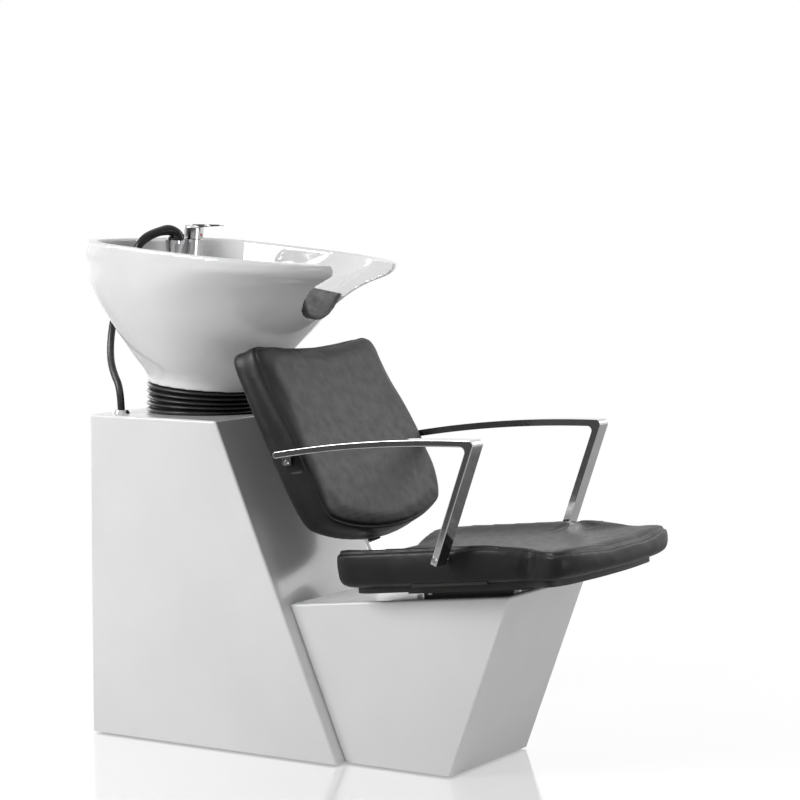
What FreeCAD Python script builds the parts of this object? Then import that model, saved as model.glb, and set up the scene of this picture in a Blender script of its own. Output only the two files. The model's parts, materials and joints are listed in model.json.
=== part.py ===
import FreeCAD, Part
import math
import os

os.makedirs("parts", exist_ok=True)
V = FreeCAD.Vector

# Salon backwash unit: fixed chair on a lacquered base with a tilting ceramic basin behind it.
# Millimetres. X to the sitter's left, -Y the way the sitter faces, +Z up, floor at Z = 0.

# Casing
PED_WIDTH = 365.0
PED_TOP = 650.0
PED_DEPTH_TOP = 310.0
PED_RAKE = 280.0
PLINTH_FLOOR = 234.0
PLINTH_WIDTH = 303.0
PLINTH_REAR_TOP = 298.0
PLINTH_OVERHANG = 128.0
SEAT_SLOPE = 6.5
SHELL = 8.0
FLOOR_GAP = 3.0
EDGE_ROUND = 5.0
HINGE_HOLE_R = 78.0
FRAME_PASS = 16.0

# Service panel in the rear of the casing
PANEL_W = 220.0
PANEL_H = 330.0
PANEL_Z = 140.0
PANEL_LAP = 18.0
PANEL_T = 3.0
PANEL_ROUND = 8.0
SCREW_R = 2.5
SCREW_HEAD_R = 4.8
SCREW_HEAD_H = 2.4
SCREW_BITE = 4.0

# Steel inside the casing
BAR_W = 60.0
BAR_T = 8.0
BAR_X = 100.0
FRAME_HALF = 375.0
ANCHOR_Y = 300.0
ANCHOR_R = 6.0
TUBE = 40.0
TUBE_WALL = 3.0
STAND_LIP = 16.0
STAND_FRONT = 26.0
STAND_BACK = 85.0
STAND_HALF = 95.0
SEAT_POST = 80.0
SEAT_POST_T = 4.0
POST_SETBACK = 112.0

# Fasteners
BOLT_R = 3.0
BOLT_HEX = 10.0
BOLT_HEX_H = 4.5
BUTTON_R = 6.0
BUTTON_FACE_R = 4.4
BUTTON_H = 3.2
BIG_BOLT_R = 4.0
BIG_HEX = 13.0
BIG_HEX_H = 5.0
SINK_H = 4.0
BOLT_TAIL = 10.0
BOLT_GRIP = 15.0
BOLT_GAP = 0.1

# Tilt hinge
AXIS_RISE = 35.0
REST_TILT = 5.3
PIN_R = 7.0
PIN_HEAD = 4.0
PIN_CLEAR = 0.05
CHEEK_X = 62.0
CHEEK_T = 8.0
CHEEK_FOOT = 30.0
TONGUE = 15.0
SIDE_GAP = 1.0
PLATE_T = 6.0
YOKE_HALF_X = 88.0
YOKE_HALF_Y = 62.0
YOKE_ROUND = 24.0
YOKE_BOLT_IN = 14.0
YOKE_HOLE_R = 56.0
BRACKET_T = 4.0
BRACKET_R = 95.0
LUG_FOOT = 26.0

# Basin, in its own level frame with the tilt axis at the origin.
# Each outline: height, half width, where it is widest, rear, front, squareness at the rear and at the front.
COLLAR_R = 120.0
COLLAR_Z = 20.0
WALL = 14.0
FLOOR_Z = 70.0
DECK_Z = 250.0
DECK_FRONT = 52.0
OUTER = [
    (COLLAR_Z, COLLAR_R, 0.0, COLLAR_R, -COLLAR_R, 2.0, 2.0),
    (34.0, 122.0, 0.0, 122.0, -122.0, 2.0, 2.0),
    (62.0, 143.0, -2.0, 140.0, -140.0, 2.1, 2.0),
    (110.0, 183.0, -8.0, 159.0, -176.0, 2.5, 2.0),
    (165.0, 220.0, -16.0, 174.0, -228.0, 3.2, 1.85),
    (222.0, 247.0, -24.0, 181.0, -284.0, 4.2, 1.75),
    (268.0, 259.0, -28.0, 182.0, -340.0, 4.6, 2.4),
    (303.0, 262.0, -30.0, 182.0, -374.0, 4.8, 2.6),
]
INNER = [
    (FLOOR_Z, 62.0, 0.0, 46.0, -60.0, 2.0, 2.0),
    (80.0, 92.0, -8.0, 49.0, -92.0, 2.3, 2.0),
    (112.0, 140.0, -20.0, DECK_FRONT, -132.0, 2.8, 2.0),
    (165.0, 186.0, -34.0, DECK_FRONT, -180.0, 3.6, 1.95),
    (222.0, 220.0, -44.0, DECK_FRONT, -236.0, 4.4, 1.9),
    (262.0, 236.0, -50.0, DECK_FRONT, -282.0, 4.8, 2.35),
    (318.0, 246.0, -56.0, DECK_FRONT, -326.0, 5.0, 2.6),
]
UPPER = [
    (DECK_Z, 231.0, -30.0, 163.0, -262.0, 4.6, 2.3),
    (318.0, 245.0, -30.0, 166.0, -326.0, 4.8, 2.6),
]
SPACE_HALF = 130.0
SPACE_REAR_LOW = 138.0
SPACE_REAR = 163.0
WINDOW_HALF = 118.0
WINDOW_LOW = 150.0
WINDOW_TOP = 224.0
NOTCH_R = 71.0
NOTCH_Y = -216.0
NOTCH_Z = 186.0
NOTCH_RISE = 4.0
NOTCH_FLARE = 60.0
NOTCH_FRONT = -300.0
NOTCH_REAR = 110.0
NOTCH_TOP = 260.0
PAD_T = 11.0
PAD_TOP = 52.0
PAD_FRONT = -46.0
PAD_REAR = 22.0

# Waste
WASTE_R = 22.0
WASTE_WALL = 4.0
WASTE_DROP = 26.0
FLANGE_R = 38.0
FLANGE_T = 4.0
SEAT_DEPTH = 1.5
NUT_ACROSS = 62.0
NUT_H = 10.0
TAIL_R = 20.0
TAIL_WALL = 3.0
TAIL_END = -110.0
CAP_H = 14.0
CAP_LAP = 6.0
TRAP_GAP = 0.4
TRAP_SKIRT = 12.0
TRAP_HOLE_R = 2.0
TRAP_RINGS = ((6, 9.5), (10, 15.0))
KNOB_R = 5.0
KNOB_H = 7.0

# Tap
MIXER_X = 58.0
MIXER_Y = 100.0
MIXER_R = 21.0
MIXER_H = 58.0
MIXER_FOOT = 4.0
MIXER_FOOT_H = 5.0
SHANK_R = 16.0
SHANK_LEN = 46.0
INLET_R = 5.0
INLET_GAP = 7.5
INLET_END = 186.0
CART_R = 16.0
CART_DEPTH = 24.0
PIVOT_R = 2.5
PIVOT_HALF = 9.0
LEVER_AXIS_Z = 72.0
LEVER_LIFT = 15.0
LEVER_TOP = 86.0
LEVER_GAP = 1.5
LEVER_WALL = 3.0
BLADE_HALF = 8.0
BLADE = [(-6.0, -9.0), (-16.0, -3.0), (-70.0, 5.0), (-71.0, 8.0), (-20.0, 4.0), (-2.0, 2.0)]
EAR_X = 8.5
EAR_HALF = 3.0
EAR_DEPTH = 5.0
DOT_R = 3.0
DOT_Z = 68.0
TAP_NUT = 36.0

# Hand shower and its hose
HOLDER_X = 0.0
HOLDER_Y = 102.0
HOLDER_FOOT_R = 15.0
HOLDER_STEM_R = 11.0
HOLDER_STUD_R = 5.0
HOLDER_STUD_LEN = 34.0
CUP_WALL = 2.7
CUP_H = 6.0
HEAD_R = 15.5
FACE_H = 4.0
NOZZLE_R = 1.2
NOZZLE_RING = 9.0
HOSE_R = 7.5
HOSE_X = -78.0
HOSE_Y = 138.0
HANDLE = [
    (HOSE_X, HOSE_Y, 272.0, 8.0),
    (HOSE_X, HOSE_Y, 285.0, 8.6),
    (-70.0, 134.0, 300.0, 9.0),
    (-52.0, 126.0, 314.0, 9.4),
    (-30.0, 116.0, 323.0, 9.6),
    (-10.0, 106.0, 325.0, 10.5),
    (HOLDER_X, HOLDER_Y, 319.0, 13.0),
    (HOLDER_X, HOLDER_Y, 306.0, HEAD_R),
]
BUSH_R = 13.0
BUSH_LIP = 5.0
BUSH_DROP = 8.0
STUB_DROP = 22.0
ELBOW_Z = 206.0
ELBOW_WALL = 3.0
MOUTH_OUT = 18.0
MOUTH_Z = 192.0
GROMMET_X = -130.0
GROMMET_IN = 40.0
GROMMET_R = 12.0
GROMMET_RISE = 46.0
HOSE_HANG = [(-79.0, 14.0, 203.0), (-84.0, 21.0, 156.0), (-99.0, 12.0, 114.0), (-116.0, -8.0, 83.0)]

# Bellows
BELLOWS_R = 120.0
BELLOWS_DEPTH = 13.0
BELLOWS_FOLDS = 5
BELLOWS_SKIN = 4.0
SOFT_GAP = 0.5

# Seat. Plan points are half of the outline, in the sloping seat frame behind the plinth's rear top edge.
# Rows: share of the edge height, inset at the sides and inset at the front.
RISER_H = 12.0
RISER_HALF_X = 120.0
RISER_SETBACK = 11.0
RISER_LEN = 194.0
RISER_RIM_X = 30.0
RISER_RIM_Y = 60.0
RISER_BOLT_X = 60.0
RISER_BOLT_IN = 34.0
SEAT_PLATE_T = 8.0
PLATE_HALF_X = 150.0
PLATE_FRONT = 64.0
PLATE_BACK = 21.0
PLATE_ROUND = 12.0
PLATE_BOLT_X = 136.0
PLATE_BOLT_IN = 46.0
BOARD_T = 12.0
BOARD_IN_SIDE = 30.0
BOARD_IN_FRONT = 40.0
SEAT_PLAN = [
    (0.0, -157.0), (55.0, -155.0), (105.0, -143.0), (165.0, -140.0), (203.0, -148.0),
    (218.0, -172.0), (222.0, -240.0), (223.5, -330.0), (223.5, -430.0), (221.0, -510.0),
    (215.0, -560.0), (219.0, -590.0), (228.0, -614.0), (229.0, -634.0), (213.0, -651.0),
    (165.0, -664.0), (85.0, -673.0), (0.0, -676.0),
]
SEAT_ROWS = [
    (0.0, 20.0, 30.0), (0.08, 9.0, 15.0), (0.22, 2.5, 5.0), (0.5, 0.0, 0.0), (0.8, 0.0, 0.5),
    (0.93, 2.5, 4.0), (1.0, 8.0, 12.0),
]
SEAT_TOP_ROWS = [(0.3, 28.0, 34.0), (0.72, 56.0, 70.0), (1.0, 100.0, 130.0)]
BOLSTER_H = 74.0
DISH_H = 53.0
CORNER_DROP = 19.0
NOSE_DROP = 4.0
DROP_Y = (-470.0, -640.0)
BOLSTER_X = (60.0, 205.0)
BATTEN_X0 = 192.0
BATTEN_X1 = 212.0
BATTEN_TOP = 58.0
BATTEN_HALF = 80.0

# Arms. Points are measured from the plinth's rear top edge.
ARM_INNER = 233.0
ARM_W = 38.0
ARM_T = 13.0
ARM_EDGE = 2.0
ARM_CORNER = 9.0
ARM_REAR = (-49.7, 310.0)
ARM_MID = (-261.7, 340.5)
ARM_FRONT = (-479.7, 352.0)
ARM_FOOT = (-399.7, 119.0)
FOOT_BOLT_UP = 11.0
BOSS_R = 7.0
BOSS_GAP = 0.5
TAB_T = 5.0
REAR_TAB_HALF = 10.0
REAR_TAB_DROP = 22.0
REAR_BOLT_DROP = 12.0

# Back. Rows: depth, inset and share of the lumbar swell.
BACK_LEAN = 28.0
BACK_SETBACK = 155.7
BACK_RISE = 134.0
BACK_LEN = 424.0
BACK_HALF = 228.0
BACK_T = 57.0
BACK_PLAN = [
    (0.0, 11.0), (60.0, 14.0), (130.0, 25.0), (188.0, 43.0), (213.0, 61.0), (225.0, 103.0),
    (228.0, 165.0), (227.5, 230.0), (225.5, 300.0), (222.0, 370.0), (218.0, 407.0), (201.0, 423.0),
    (150.0, 422.0), (80.0, 416.0), (0.0, 413.0),
]
BACK_ROWS = [
    (-11.0, 100.0, 0.0), (-10.0, 62.0, 0.3), (-8.0, 26.0, 0.6), (-4.0, 9.0, 0.9), (2.0, 2.0, 1.0),
    (12.0, 0.0, 0.8), (34.0, 0.0, 0.2), (48.0, 0.0, 0.0), (54.0, 2.0, 0.0), (BACK_T, 6.0, 0.0),
]
LUMBAR = 7.0
BACK_BOARD_T = 12.0
BACK_BOARD_IN = 11.0
BACK_BOARD_GAP = 0.4
BACK_BATTEN_X0 = 172.0
BACK_BATTEN_X1 = 206.0
BACK_BATTEN_Z = (130.0, 250.0)
BACK_BATTEN_DEPTH = 34.0
SPINE_W = 46.0
SPINE_T = 8.0
SPINE_BEND = 34.0
SPINE_GAP = 9.0
SPINE_TOP = 160.0
SPINE_FOOT_BOLTS = (32.0, 62.0)
SPINE_TOP_BOLTS = (90.0, 130.0)
SPINE_BOLT_LEN = 18.0

# Places that follow from the sizes above
TILT = math.radians(REST_TILT)
SLOPE = math.radians(SEAT_SLOPE)
LEAN = math.radians(BACK_LEAN)
PED_DEPTH_FLOOR = PED_DEPTH_TOP + PED_RAKE
REAR_Y = (PED_DEPTH_FLOOR + PLINTH_FLOOR) / 2
AXIS_Y = REAR_Y - PED_DEPTH_TOP / 2
AXIS_Z = PED_TOP + AXIS_RISE
GROMMET_Y = REAR_Y - GROMMET_IN
FRONT_RUN = PED_RAKE / (PED_TOP - FLOOR_GAP)
PLINTH_REAR_Y = REAR_Y - PED_DEPTH_FLOOR + FRONT_RUN * (PLINTH_REAR_TOP - FLOOR_GAP)
PLINTH_TOP_RUN = (PLINTH_REAR_Y + REAR_Y + PLINTH_OVERHANG) / math.cos(SLOPE)
SEAT_POST_Y = POST_SETBACK - REAR_Y
RISER_Y0 = RISER_SETBACK - PLINTH_TOP_RUN
RISER_Y1 = RISER_Y0 + RISER_LEN
PLATE_Y0 = RISER_Y0 - PLATE_FRONT
PLATE_Y1 = RISER_Y1 + PLATE_BACK
SEAT_BOARD_Z = RISER_H + SEAT_PLATE_T
SEAT_Z = SEAT_BOARD_Z + BOARD_T
BACK_Y = PLINTH_REAR_Y - BACK_SETBACK
BACK_Z = PLINTH_REAR_TOP + BACK_RISE
BACK_BOARD_Y = BACK_T - BACK_BOARD_T


def box(x0, x1, y0, y1, z0, z1):
    return Part.makeBox(x1 - x0, y1 - y0, z1 - z0, V(x0, y0, z0))


def cyl(r, base, axis, h):
    return Part.makeCylinder(r, h, base, axis)


def ring(r_out, r_in, base, axis, h):
    return cyl(r_out, base, axis, h).cut(cyl(r_in, base, axis, h))


def prism_x(points, x0, x1):
    wire = Part.makePolygon([V(x0, y, z) for y, z in points + points[:1]])
    return Part.Face(wire).extrude(V(x1 - x0, 0, 0))


def fuse(shapes):
    whole = shapes[0]
    for shape in shapes[1:]:
        whole = whole.fuse(shape)
    return whole.removeSplitter()


def cut(shape, tools):
    for tool in tools:
        shape = shape.cut(tool)
    return shape


def mirrored(shape):
    return shape.mirror(V(0, 0, 0), V(1, 0, 0))


def both(shape):
    return [shape, mirrored(shape)]


def loop(points):
    curve = Part.BSplineCurve()
    curve.interpolate(points, PeriodicFlag=True)
    return Part.Wire([curve.toShape()])


def loft(wires, ruled=False):
    return Part.makeLoft(wires, True, ruled)


def hexagon(across, base, h):
    r = across / math.sqrt(3)
    points = [V(base.x + r * math.cos(math.pi * k / 3), base.y + r * math.sin(math.pi * k / 3), base.z)
              for k in range(7)]
    return Part.Face(Part.makePolygon(points)).extrude(V(0, 0, h))


def edges_along(shape, axis, least):
    picked = []
    for edge in shape.Edges:
        if len(edge.Vertexes) != 2:
            continue
        run = edge.Vertexes[1].Point - edge.Vertexes[0].Point
        if run.Length > least and abs(run.normalize().dot(axis)) > 0.999:
            picked.append(edge)
    return picked


def turned(shape, origin, degrees):
    placed = shape.copy()
    placed.translate(origin)
    placed.rotate(origin, V(1, 0, 0), degrees)
    return placed


def on_basin(shape):
    return turned(shape, V(0, AXIS_Y, AXIS_Z), REST_TILT)


def on_seat(shape):
    return turned(shape, V(0, PLINTH_REAR_Y, PLINTH_REAR_TOP), -SEAT_SLOPE)


def on_back(shape):
    return turned(shape, V(0, BACK_Y, BACK_Z), -BACK_LEAN)


def point_on(origin_y, origin_z, angle, y, z):
    return V(0, origin_y + y * math.cos(angle) - z * math.sin(angle),
             origin_z + y * math.sin(angle) + z * math.cos(angle))


def seat_point(y, z):
    return point_on(PLINTH_REAR_Y, PLINTH_REAR_TOP, -SLOPE, y, z)


def back_point(y, z):
    return point_on(BACK_Y, BACK_Z, -LEAN, y, z)


def basin_point(x, y, z):
    p = point_on(AXIS_Y, AXIS_Z, TILT, y, z)
    return V(x, p.y, p.z)


def save(node, shape):
    shapes = shape if isinstance(shape, list) else [shape]
    solids = [solid for item in shapes for solid in item.Solids]
    whole = solids[0] if len(solids) == 1 else Part.makeCompound(solids)
    whole.exportStep("parts/" + node + ".step")


# Casing

def pedestal_side(inset):
    lean = math.hypot(1, FRONT_RUN)
    floor_z = FLOOR_GAP if inset == 0 else FLOOR_GAP - 1
    top = PED_TOP - inset
    front = [REAR_Y - PED_DEPTH_FLOOR + FRONT_RUN * (z - FLOOR_GAP) + inset * lean for z in (top, floor_z)]
    return [(REAR_Y - inset, floor_z), (REAR_Y - inset, top), (front[0], top), (front[1], floor_z)]


def pedestal_shell():
    half = PED_WIDTH / 2
    outer = prism_x(pedestal_side(0), -half, half)
    sharp = [e for e in outer.Edges if e.BoundBox.ZMax > FLOOR_GAP + 1]
    outer = outer.makeFillet(EDGE_ROUND, sharp)
    inner = prism_x(pedestal_side(SHELL), -half + SHELL, half - SHELL)
    tools = [
        inner,
        cyl(HINGE_HOLE_R, V(0, AXIS_Y, PED_TOP - SHELL - 1), V(0, 0, 1), SHELL + 2),
        cyl(GROMMET_R, V(GROMMET_X, GROMMET_Y, PED_TOP - SHELL - 1), V(0, 0, 1), SHELL + 2),
        box(-PANEL_W / 2, PANEL_W / 2, REAR_Y - SHELL - 1, REAR_Y + 1, PANEL_Z, PANEL_Z + PANEL_H),
        box(-PLINTH_WIDTH / 2 + 2 * SHELL, PLINTH_WIDTH / 2 - 2 * SHELL,
            -REAR_Y, REAR_Y - PED_DEPTH_TOP, FLOOR_GAP - 1, FRAME_PASS),
    ]
    for x, z in panel_screw_spots():
        tools.append(cyl(SCREW_R, V(x, REAR_Y - SHELL - 1, z), V(0, 1, 0), SHELL + 2))
    for x, y in yoke_bolt_spots():
        tools.append(cyl(BIG_BOLT_R + BOLT_GAP, V(x, y, PED_TOP - SHELL - 1), V(0, 0, 1), SHELL + 2))
    return cut(outer, tools)


def panel_screw_spots():
    x = PANEL_W / 2 + PANEL_LAP / 2
    low = PANEL_Z - PANEL_LAP / 2
    high = PANEL_Z + PANEL_H + PANEL_LAP / 2
    return [(-x, low), (x, low), (x, high), (-x, high)]


def yoke_bolt_spots():
    x = YOKE_HALF_X - YOKE_BOLT_IN
    y = YOKE_HALF_Y - YOKE_BOLT_IN
    return [(sx * x, AXIS_Y + sy * y) for sx in (-1, 1) for sy in (-1, 1)]


def service_panel():
    half = PANEL_W / 2 + PANEL_LAP
    plate = box(-half, half, REAR_Y, REAR_Y + PANEL_T, PANEL_Z - PANEL_LAP, PANEL_Z + PANEL_H + PANEL_LAP)
    plate = plate.makeFillet(PANEL_ROUND, edges_along(plate, V(0, 1, 0), 1))
    holes = [cyl(SCREW_R, V(x, REAR_Y - 1, z), V(0, 1, 0), PANEL_T + 2) for x, z in panel_screw_spots()]
    return cut(plate, holes)


def panel_screws():
    screws = []
    for x, z in panel_screw_spots():
        low = REAR_Y - SHELL - SCREW_BITE
        shank = cyl(SCREW_R, V(x, low, z), V(0, 1, 0), REAR_Y + PANEL_T - low)
        head = Part.makeCone(SCREW_HEAD_R, SCREW_R, SCREW_HEAD_H, V(x, REAR_Y + PANEL_T, z), V(0, 1, 0))
        screws.append(fuse([shank, head]))
    return screws


def plinth_side(inset):
    rise = math.tan(SLOPE)
    front_y = -REAR_Y
    top_y = front_y - PLINTH_OVERHANG
    top_z = PLINTH_REAR_TOP + (PLINTH_REAR_Y - top_y) * rise
    lean = PLINTH_OVERHANG / (top_z - FLOOR_GAP)
    floor_z = FLOOR_GAP - 1 if inset else FLOOR_GAP
    rear_y = REAR_Y - PED_DEPTH_FLOOR + (1.0 if inset else 0.0)
    front_y += inset * math.hypot(1, lean)
    roof = PLINTH_REAR_TOP - inset / math.cos(SLOPE) + PLINTH_REAR_Y * rise
    rear_z = (roof - rise * (rear_y - FRONT_RUN * FLOOR_GAP)) / (1 + rise * FRONT_RUN)
    front_z = (roof - rise * (front_y + lean * FLOOR_GAP)) / (1 - rise * lean)
    rear = [(rear_y + FRONT_RUN * (z - FLOOR_GAP), z) for z in (floor_z, rear_z)]
    front = [(front_y - lean * (z - FLOOR_GAP), z) for z in (front_z, floor_z)]
    return rear + front


def plinth_shell():
    half = PLINTH_WIDTH / 2
    outer = prism_x(plinth_side(0), -half, half)
    sharp = [e for e in outer.Edges
             if e.BoundBox.ZMax > FLOOR_GAP + 1 and e.BoundBox.YMin < PLINTH_REAR_Y - 60
             and not (e.BoundBox.YMax > PLINTH_REAR_Y - 1 and e.BoundBox.XLength > 1)]
    outer = outer.makeFillet(EDGE_ROUND, sharp)
    inner = prism_x(plinth_side(SHELL), -half + SHELL, half - SHELL)
    bolts = []
    for x, y in riser_bolt_spots():
        bolts.append(on_seat(cyl(BIG_BOLT_R + BOLT_GAP, V(x, y, -2 * SHELL), V(0, 0, 1), 3 * SHELL)))
    return cut(outer, [inner] + bolts)


def riser_bolt_spots():
    ends = (RISER_Y0 + RISER_BOLT_IN, RISER_Y1 - RISER_BOLT_IN)
    return [(sx * RISER_BOLT_X, y) for sx in (-1, 1) for y in ends]


# Steel inside the casing

def floor_frame():
    low, high = 0.0, BAR_T
    bars = []
    for side in (-1, 1):
        x = side * BAR_X
        bars.append(box(x - BAR_W / 2, x + BAR_W / 2, -FRAME_HALF, FRAME_HALF, low, high))
    for y in (-FRAME_HALF + BAR_W / 2, SEAT_POST_Y, FRAME_HALF - BAR_W / 2):
        bars.append(box(-BAR_X, BAR_X, y - BAR_W / 2, y + BAR_W / 2, low, high))
    frame = fuse(bars)
    holes = [cyl(ANCHOR_R, V(sx * BAR_X, sy * ANCHOR_Y, low - 1), V(0, 0, 1), BAR_T + 2)
             for sx in (-1, 1) for sy in (-1, 1)]
    return cut(frame, holes)


def basin_stand():
    top = PED_TOP - SHELL
    parts = []
    for side in (-1, 1):
        x = side * BAR_X
        tube = box(x - TUBE / 2, x + TUBE / 2, AXIS_Y - TUBE / 2, AXIS_Y + TUBE / 2, BAR_T, top - PLATE_T)
        half = TUBE / 2 - TUBE_WALL
        bore = box(x - half, x + half, AXIS_Y - half, AXIS_Y + half, BAR_T, top - PLATE_T)
        parts.append(tube.cut(bore))
    reach = BAR_X + TUBE / 2
    half = HINGE_HOLE_R + STAND_LIP
    parts.append(box(-reach, reach, AXIS_Y - half, AXIS_Y + half, top - PLATE_T, top))
    stand = fuse(parts)
    tools = [cyl(HINGE_HOLE_R, V(0, AXIS_Y, top - PLATE_T - 1), V(0, 0, 1), PLATE_T + 2)]
    for x, y in yoke_bolt_spots():
        tools.append(cyl(BIG_BOLT_R, V(x, y, top - PLATE_T - 1), V(0, 0, 1), PLATE_T + 2))
    return cut(stand, tools)


def seat_stand():
    reach = SEAT_POST / 2
    low = -SHELL - PLATE_T
    top = on_seat(box(-STAND_HALF, STAND_HALF, RISER_Y0 + STAND_FRONT, RISER_Y1 + STAND_BACK, low, -SHELL))
    keep = on_seat(box(-PED_WIDTH, PED_WIDTH, -2 * PLINTH_TOP_RUN, PLINTH_TOP_RUN, -PED_TOP, low))
    post = box(-reach, reach, SEAT_POST_Y - reach, SEAT_POST_Y + reach, BAR_T, PED_TOP)
    wall = reach - SEAT_POST_T
    bore = box(-wall, wall, SEAT_POST_Y - wall, SEAT_POST_Y + wall, BAR_T, PED_TOP)
    stand = fuse([top, post.cut(bore).common(keep)])
    holes = []
    for x, y in riser_bolt_spots():
        holes.append(on_seat(cyl(BIG_BOLT_R, V(x, y, -SHELL - 2 * PLATE_T), V(0, 0, 1), 3 * PLATE_T)))
    return cut(stand, holes)


# Tilt hinge

def cheek(x0, reach_z, half):
    arc = [(AXIS_Y + TONGUE * math.cos(math.radians(a)), AXIS_Z + TONGUE * math.sin(math.radians(a)))
           for a in range(0, 181, 20)]
    return prism_x([(AXIS_Y + half, reach_z)] + arc + [(AXIS_Y - half, reach_z)], x0, x0 + CHEEK_T)


def tilt_yoke():
    plate = box(-YOKE_HALF_X, YOKE_HALF_X, AXIS_Y - YOKE_HALF_Y, AXIS_Y + YOKE_HALF_Y,
                PED_TOP, PED_TOP + PLATE_T)
    plate = plate.makeFillet(YOKE_ROUND, edges_along(plate, V(0, 0, 1), 1))
    plate = plate.cut(cyl(YOKE_HOLE_R, V(0, AXIS_Y, PED_TOP - 1), V(0, 0, 1), PLATE_T + 2))
    yoke = fuse([plate] + both(cheek(CHEEK_X, PED_TOP + PLATE_T, CHEEK_FOOT)))
    tools = both(cyl(PIN_R, V(CHEEK_X - 1, AXIS_Y, AXIS_Z), V(1, 0, 0), CHEEK_T + 2))
    for x, y in yoke_bolt_spots():
        tools.append(cyl(BIG_BOLT_R, V(x, y, PED_TOP - 1), V(0, 0, 1), PLATE_T + 2))
    return cut(yoke, tools)


def yoke_bolts():
    bolts = []
    for x, y in yoke_bolt_spots():
        low = PED_TOP - SHELL - PLATE_T - BOLT_TAIL
        shank = cyl(BIG_BOLT_R, V(x, y, low), V(0, 0, 1), PED_TOP + PLATE_T - low)
        bolts.append(fuse([shank, hexagon(BIG_HEX, V(x, y, PED_TOP + PLATE_T), BIG_HEX_H)]))
    return bolts


def tilt_pins():
    length = 2 * CHEEK_T + SIDE_GAP + PIN_HEAD
    pin = cyl(PIN_R, V(CHEEK_X, AXIS_Y, AXIS_Z), V(1, 0, 0), length)
    head = cyl(PIN_R + PIN_HEAD, V(CHEEK_X - PIN_HEAD, AXIS_Y, AXIS_Z), V(1, 0, 0), PIN_HEAD)
    return both(fuse([pin, head]))


def basin_bracket():
    top = FLOOR_Z - WALL
    plate = cyl(BRACKET_R, V(0, 0, top - BRACKET_T), V(0, 0, 1), BRACKET_T)
    x0 = CHEEK_X + CHEEK_T + SIDE_GAP
    arc = [(TONGUE * math.cos(math.radians(a)), TONGUE * math.sin(math.radians(a)))
           for a in range(180, 361, 20)]
    lug = prism_x([(-LUG_FOOT, top - BRACKET_T)] + arc + [(LUG_FOOT, top - BRACKET_T)], x0, x0 + CHEEK_T)
    bracket = fuse([plate] + both(lug))
    tools = both(cyl(PIN_R + PIN_CLEAR, V(x0 - 1, 0, 0), V(1, 0, 0), CHEEK_T + 2))
    tools.append(cyl(WASTE_R, V(0, 0, top - BRACKET_T - 1), V(0, 0, 1), BRACKET_T + 2))
    return on_basin(cut(bracket, tools))


# Bellows: each fold is a ridge between two valleys, the rings leaning steadily into the basin's tilt

def bellows_rings(thickness):
    rings = []
    steps = 2 * BELLOWS_FOLDS
    low = V(0, AXIS_Y, PED_TOP)
    high = basin_point(0, 0, COLLAR_Z - SOFT_GAP)
    for k in range(steps + 1):
        share = k / steps
        radius = BELLOWS_R - (BELLOWS_DEPTH if k % 2 == 0 else 0.0) - thickness
        centre = low + (high - low) * share
        lean = TILT * share
        normal = V(0, -math.sin(lean), math.cos(lean))
        rings.append(Part.Wire([Part.Edge(Part.Circle(centre, normal, radius))]))
    return rings


def bellows():
    return loft(bellows_rings(0.0), True).cut(loft(bellows_rings(BELLOWS_SKIN), True))


# Basin: outer and inner lofts through outlines that grow from a round collar to a squarish rim

def outline(row, inset=0.0, count=32):
    z, half, wide_y, rear, front, p_rear, p_front = row
    points = []
    for k in range(count):
        t = 2 * math.pi * (k + 0.5) / count
        c, s = math.cos(t), math.sin(t)
        p = p_rear if s >= 0 else p_front
        x = (half - inset) * math.copysign(abs(c) ** (2 / p), c)
        reach = rear - wide_y if s >= 0 else wide_y - front
        points.append(V(x, wide_y + (reach - inset) * math.copysign(abs(s) ** (2 / p), s), z))
    return loop(points)


def basin_loft(rows, inset=0.0):
    return loft([outline(row, inset) for row in rows])


def notch_tool(radius, y0, y1, top):
    flare = math.radians(NOTCH_FLARE)
    x = radius * math.sin(flare)
    z = radius * (1 - math.cos(flare))
    wide = x + (top - z) / math.tan(flare)
    arc = Part.Arc(V(-x, 0, z), V(0, 0, 0), V(x, 0, z)).toShape()
    lines = [V(x, 0, z), V(wide, 0, top), V(-wide, 0, top), V(-x, 0, z)]
    edges = [arc] + [Part.makeLine(a, b) for a, b in zip(lines, lines[1:])]
    tool = Part.Face(Part.Wire(edges)).extrude(V(0, y1 - y0, 0))
    tool.translate(V(0, y0, 0))
    tool.rotate(V(0, 0, 0), V(1, 0, 0), NOTCH_RISE)
    tool.translate(V(0, NOTCH_Y, NOTCH_Z))
    return tool


def under_deck_space():
    front, top = DECK_FRONT + WALL, DECK_Z - WALL
    side = [(front, WINDOW_LOW), (SPACE_REAR_LOW, WINDOW_LOW), (SPACE_REAR, WINDOW_TOP), (SPACE_REAR, top),
            (front, top)]
    return prism_x(side, -SPACE_HALF, SPACE_HALF)


def basin():
    bowl = basin_loft(OUTER)
    tools = [
        basin_loft(INNER),
        basin_loft(UPPER),
        notch_tool(NOTCH_R, NOTCH_FRONT, NOTCH_REAR, NOTCH_TOP),
        cyl(COLLAR_R - WALL, V(0, 0, COLLAR_Z - 1), V(0, 0, 1), FLOOR_Z - WALL - COLLAR_Z + 1),
        cyl(WASTE_R, V(0, 0, 0), V(0, 0, 1), FLOOR_Z + 1),
        under_deck_space(),
        box(-WINDOW_HALF, WINDOW_HALF, HOSE_Y, 2 * HOSE_Y, WINDOW_LOW, WINDOW_TOP),
    ]
    for radius, x, y in ((SHANK_R + 1, MIXER_X, MIXER_Y), (HOLDER_STUD_R + 1, HOLDER_X, HOLDER_Y),
                         (BUSH_R, HOSE_X, HOSE_Y)):
        tools.append(cyl(radius, V(x, y, DECK_Z - 2 * WALL), V(0, 0, 1), 3 * WALL))
    return on_basin(cut(bowl, tools))


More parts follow.
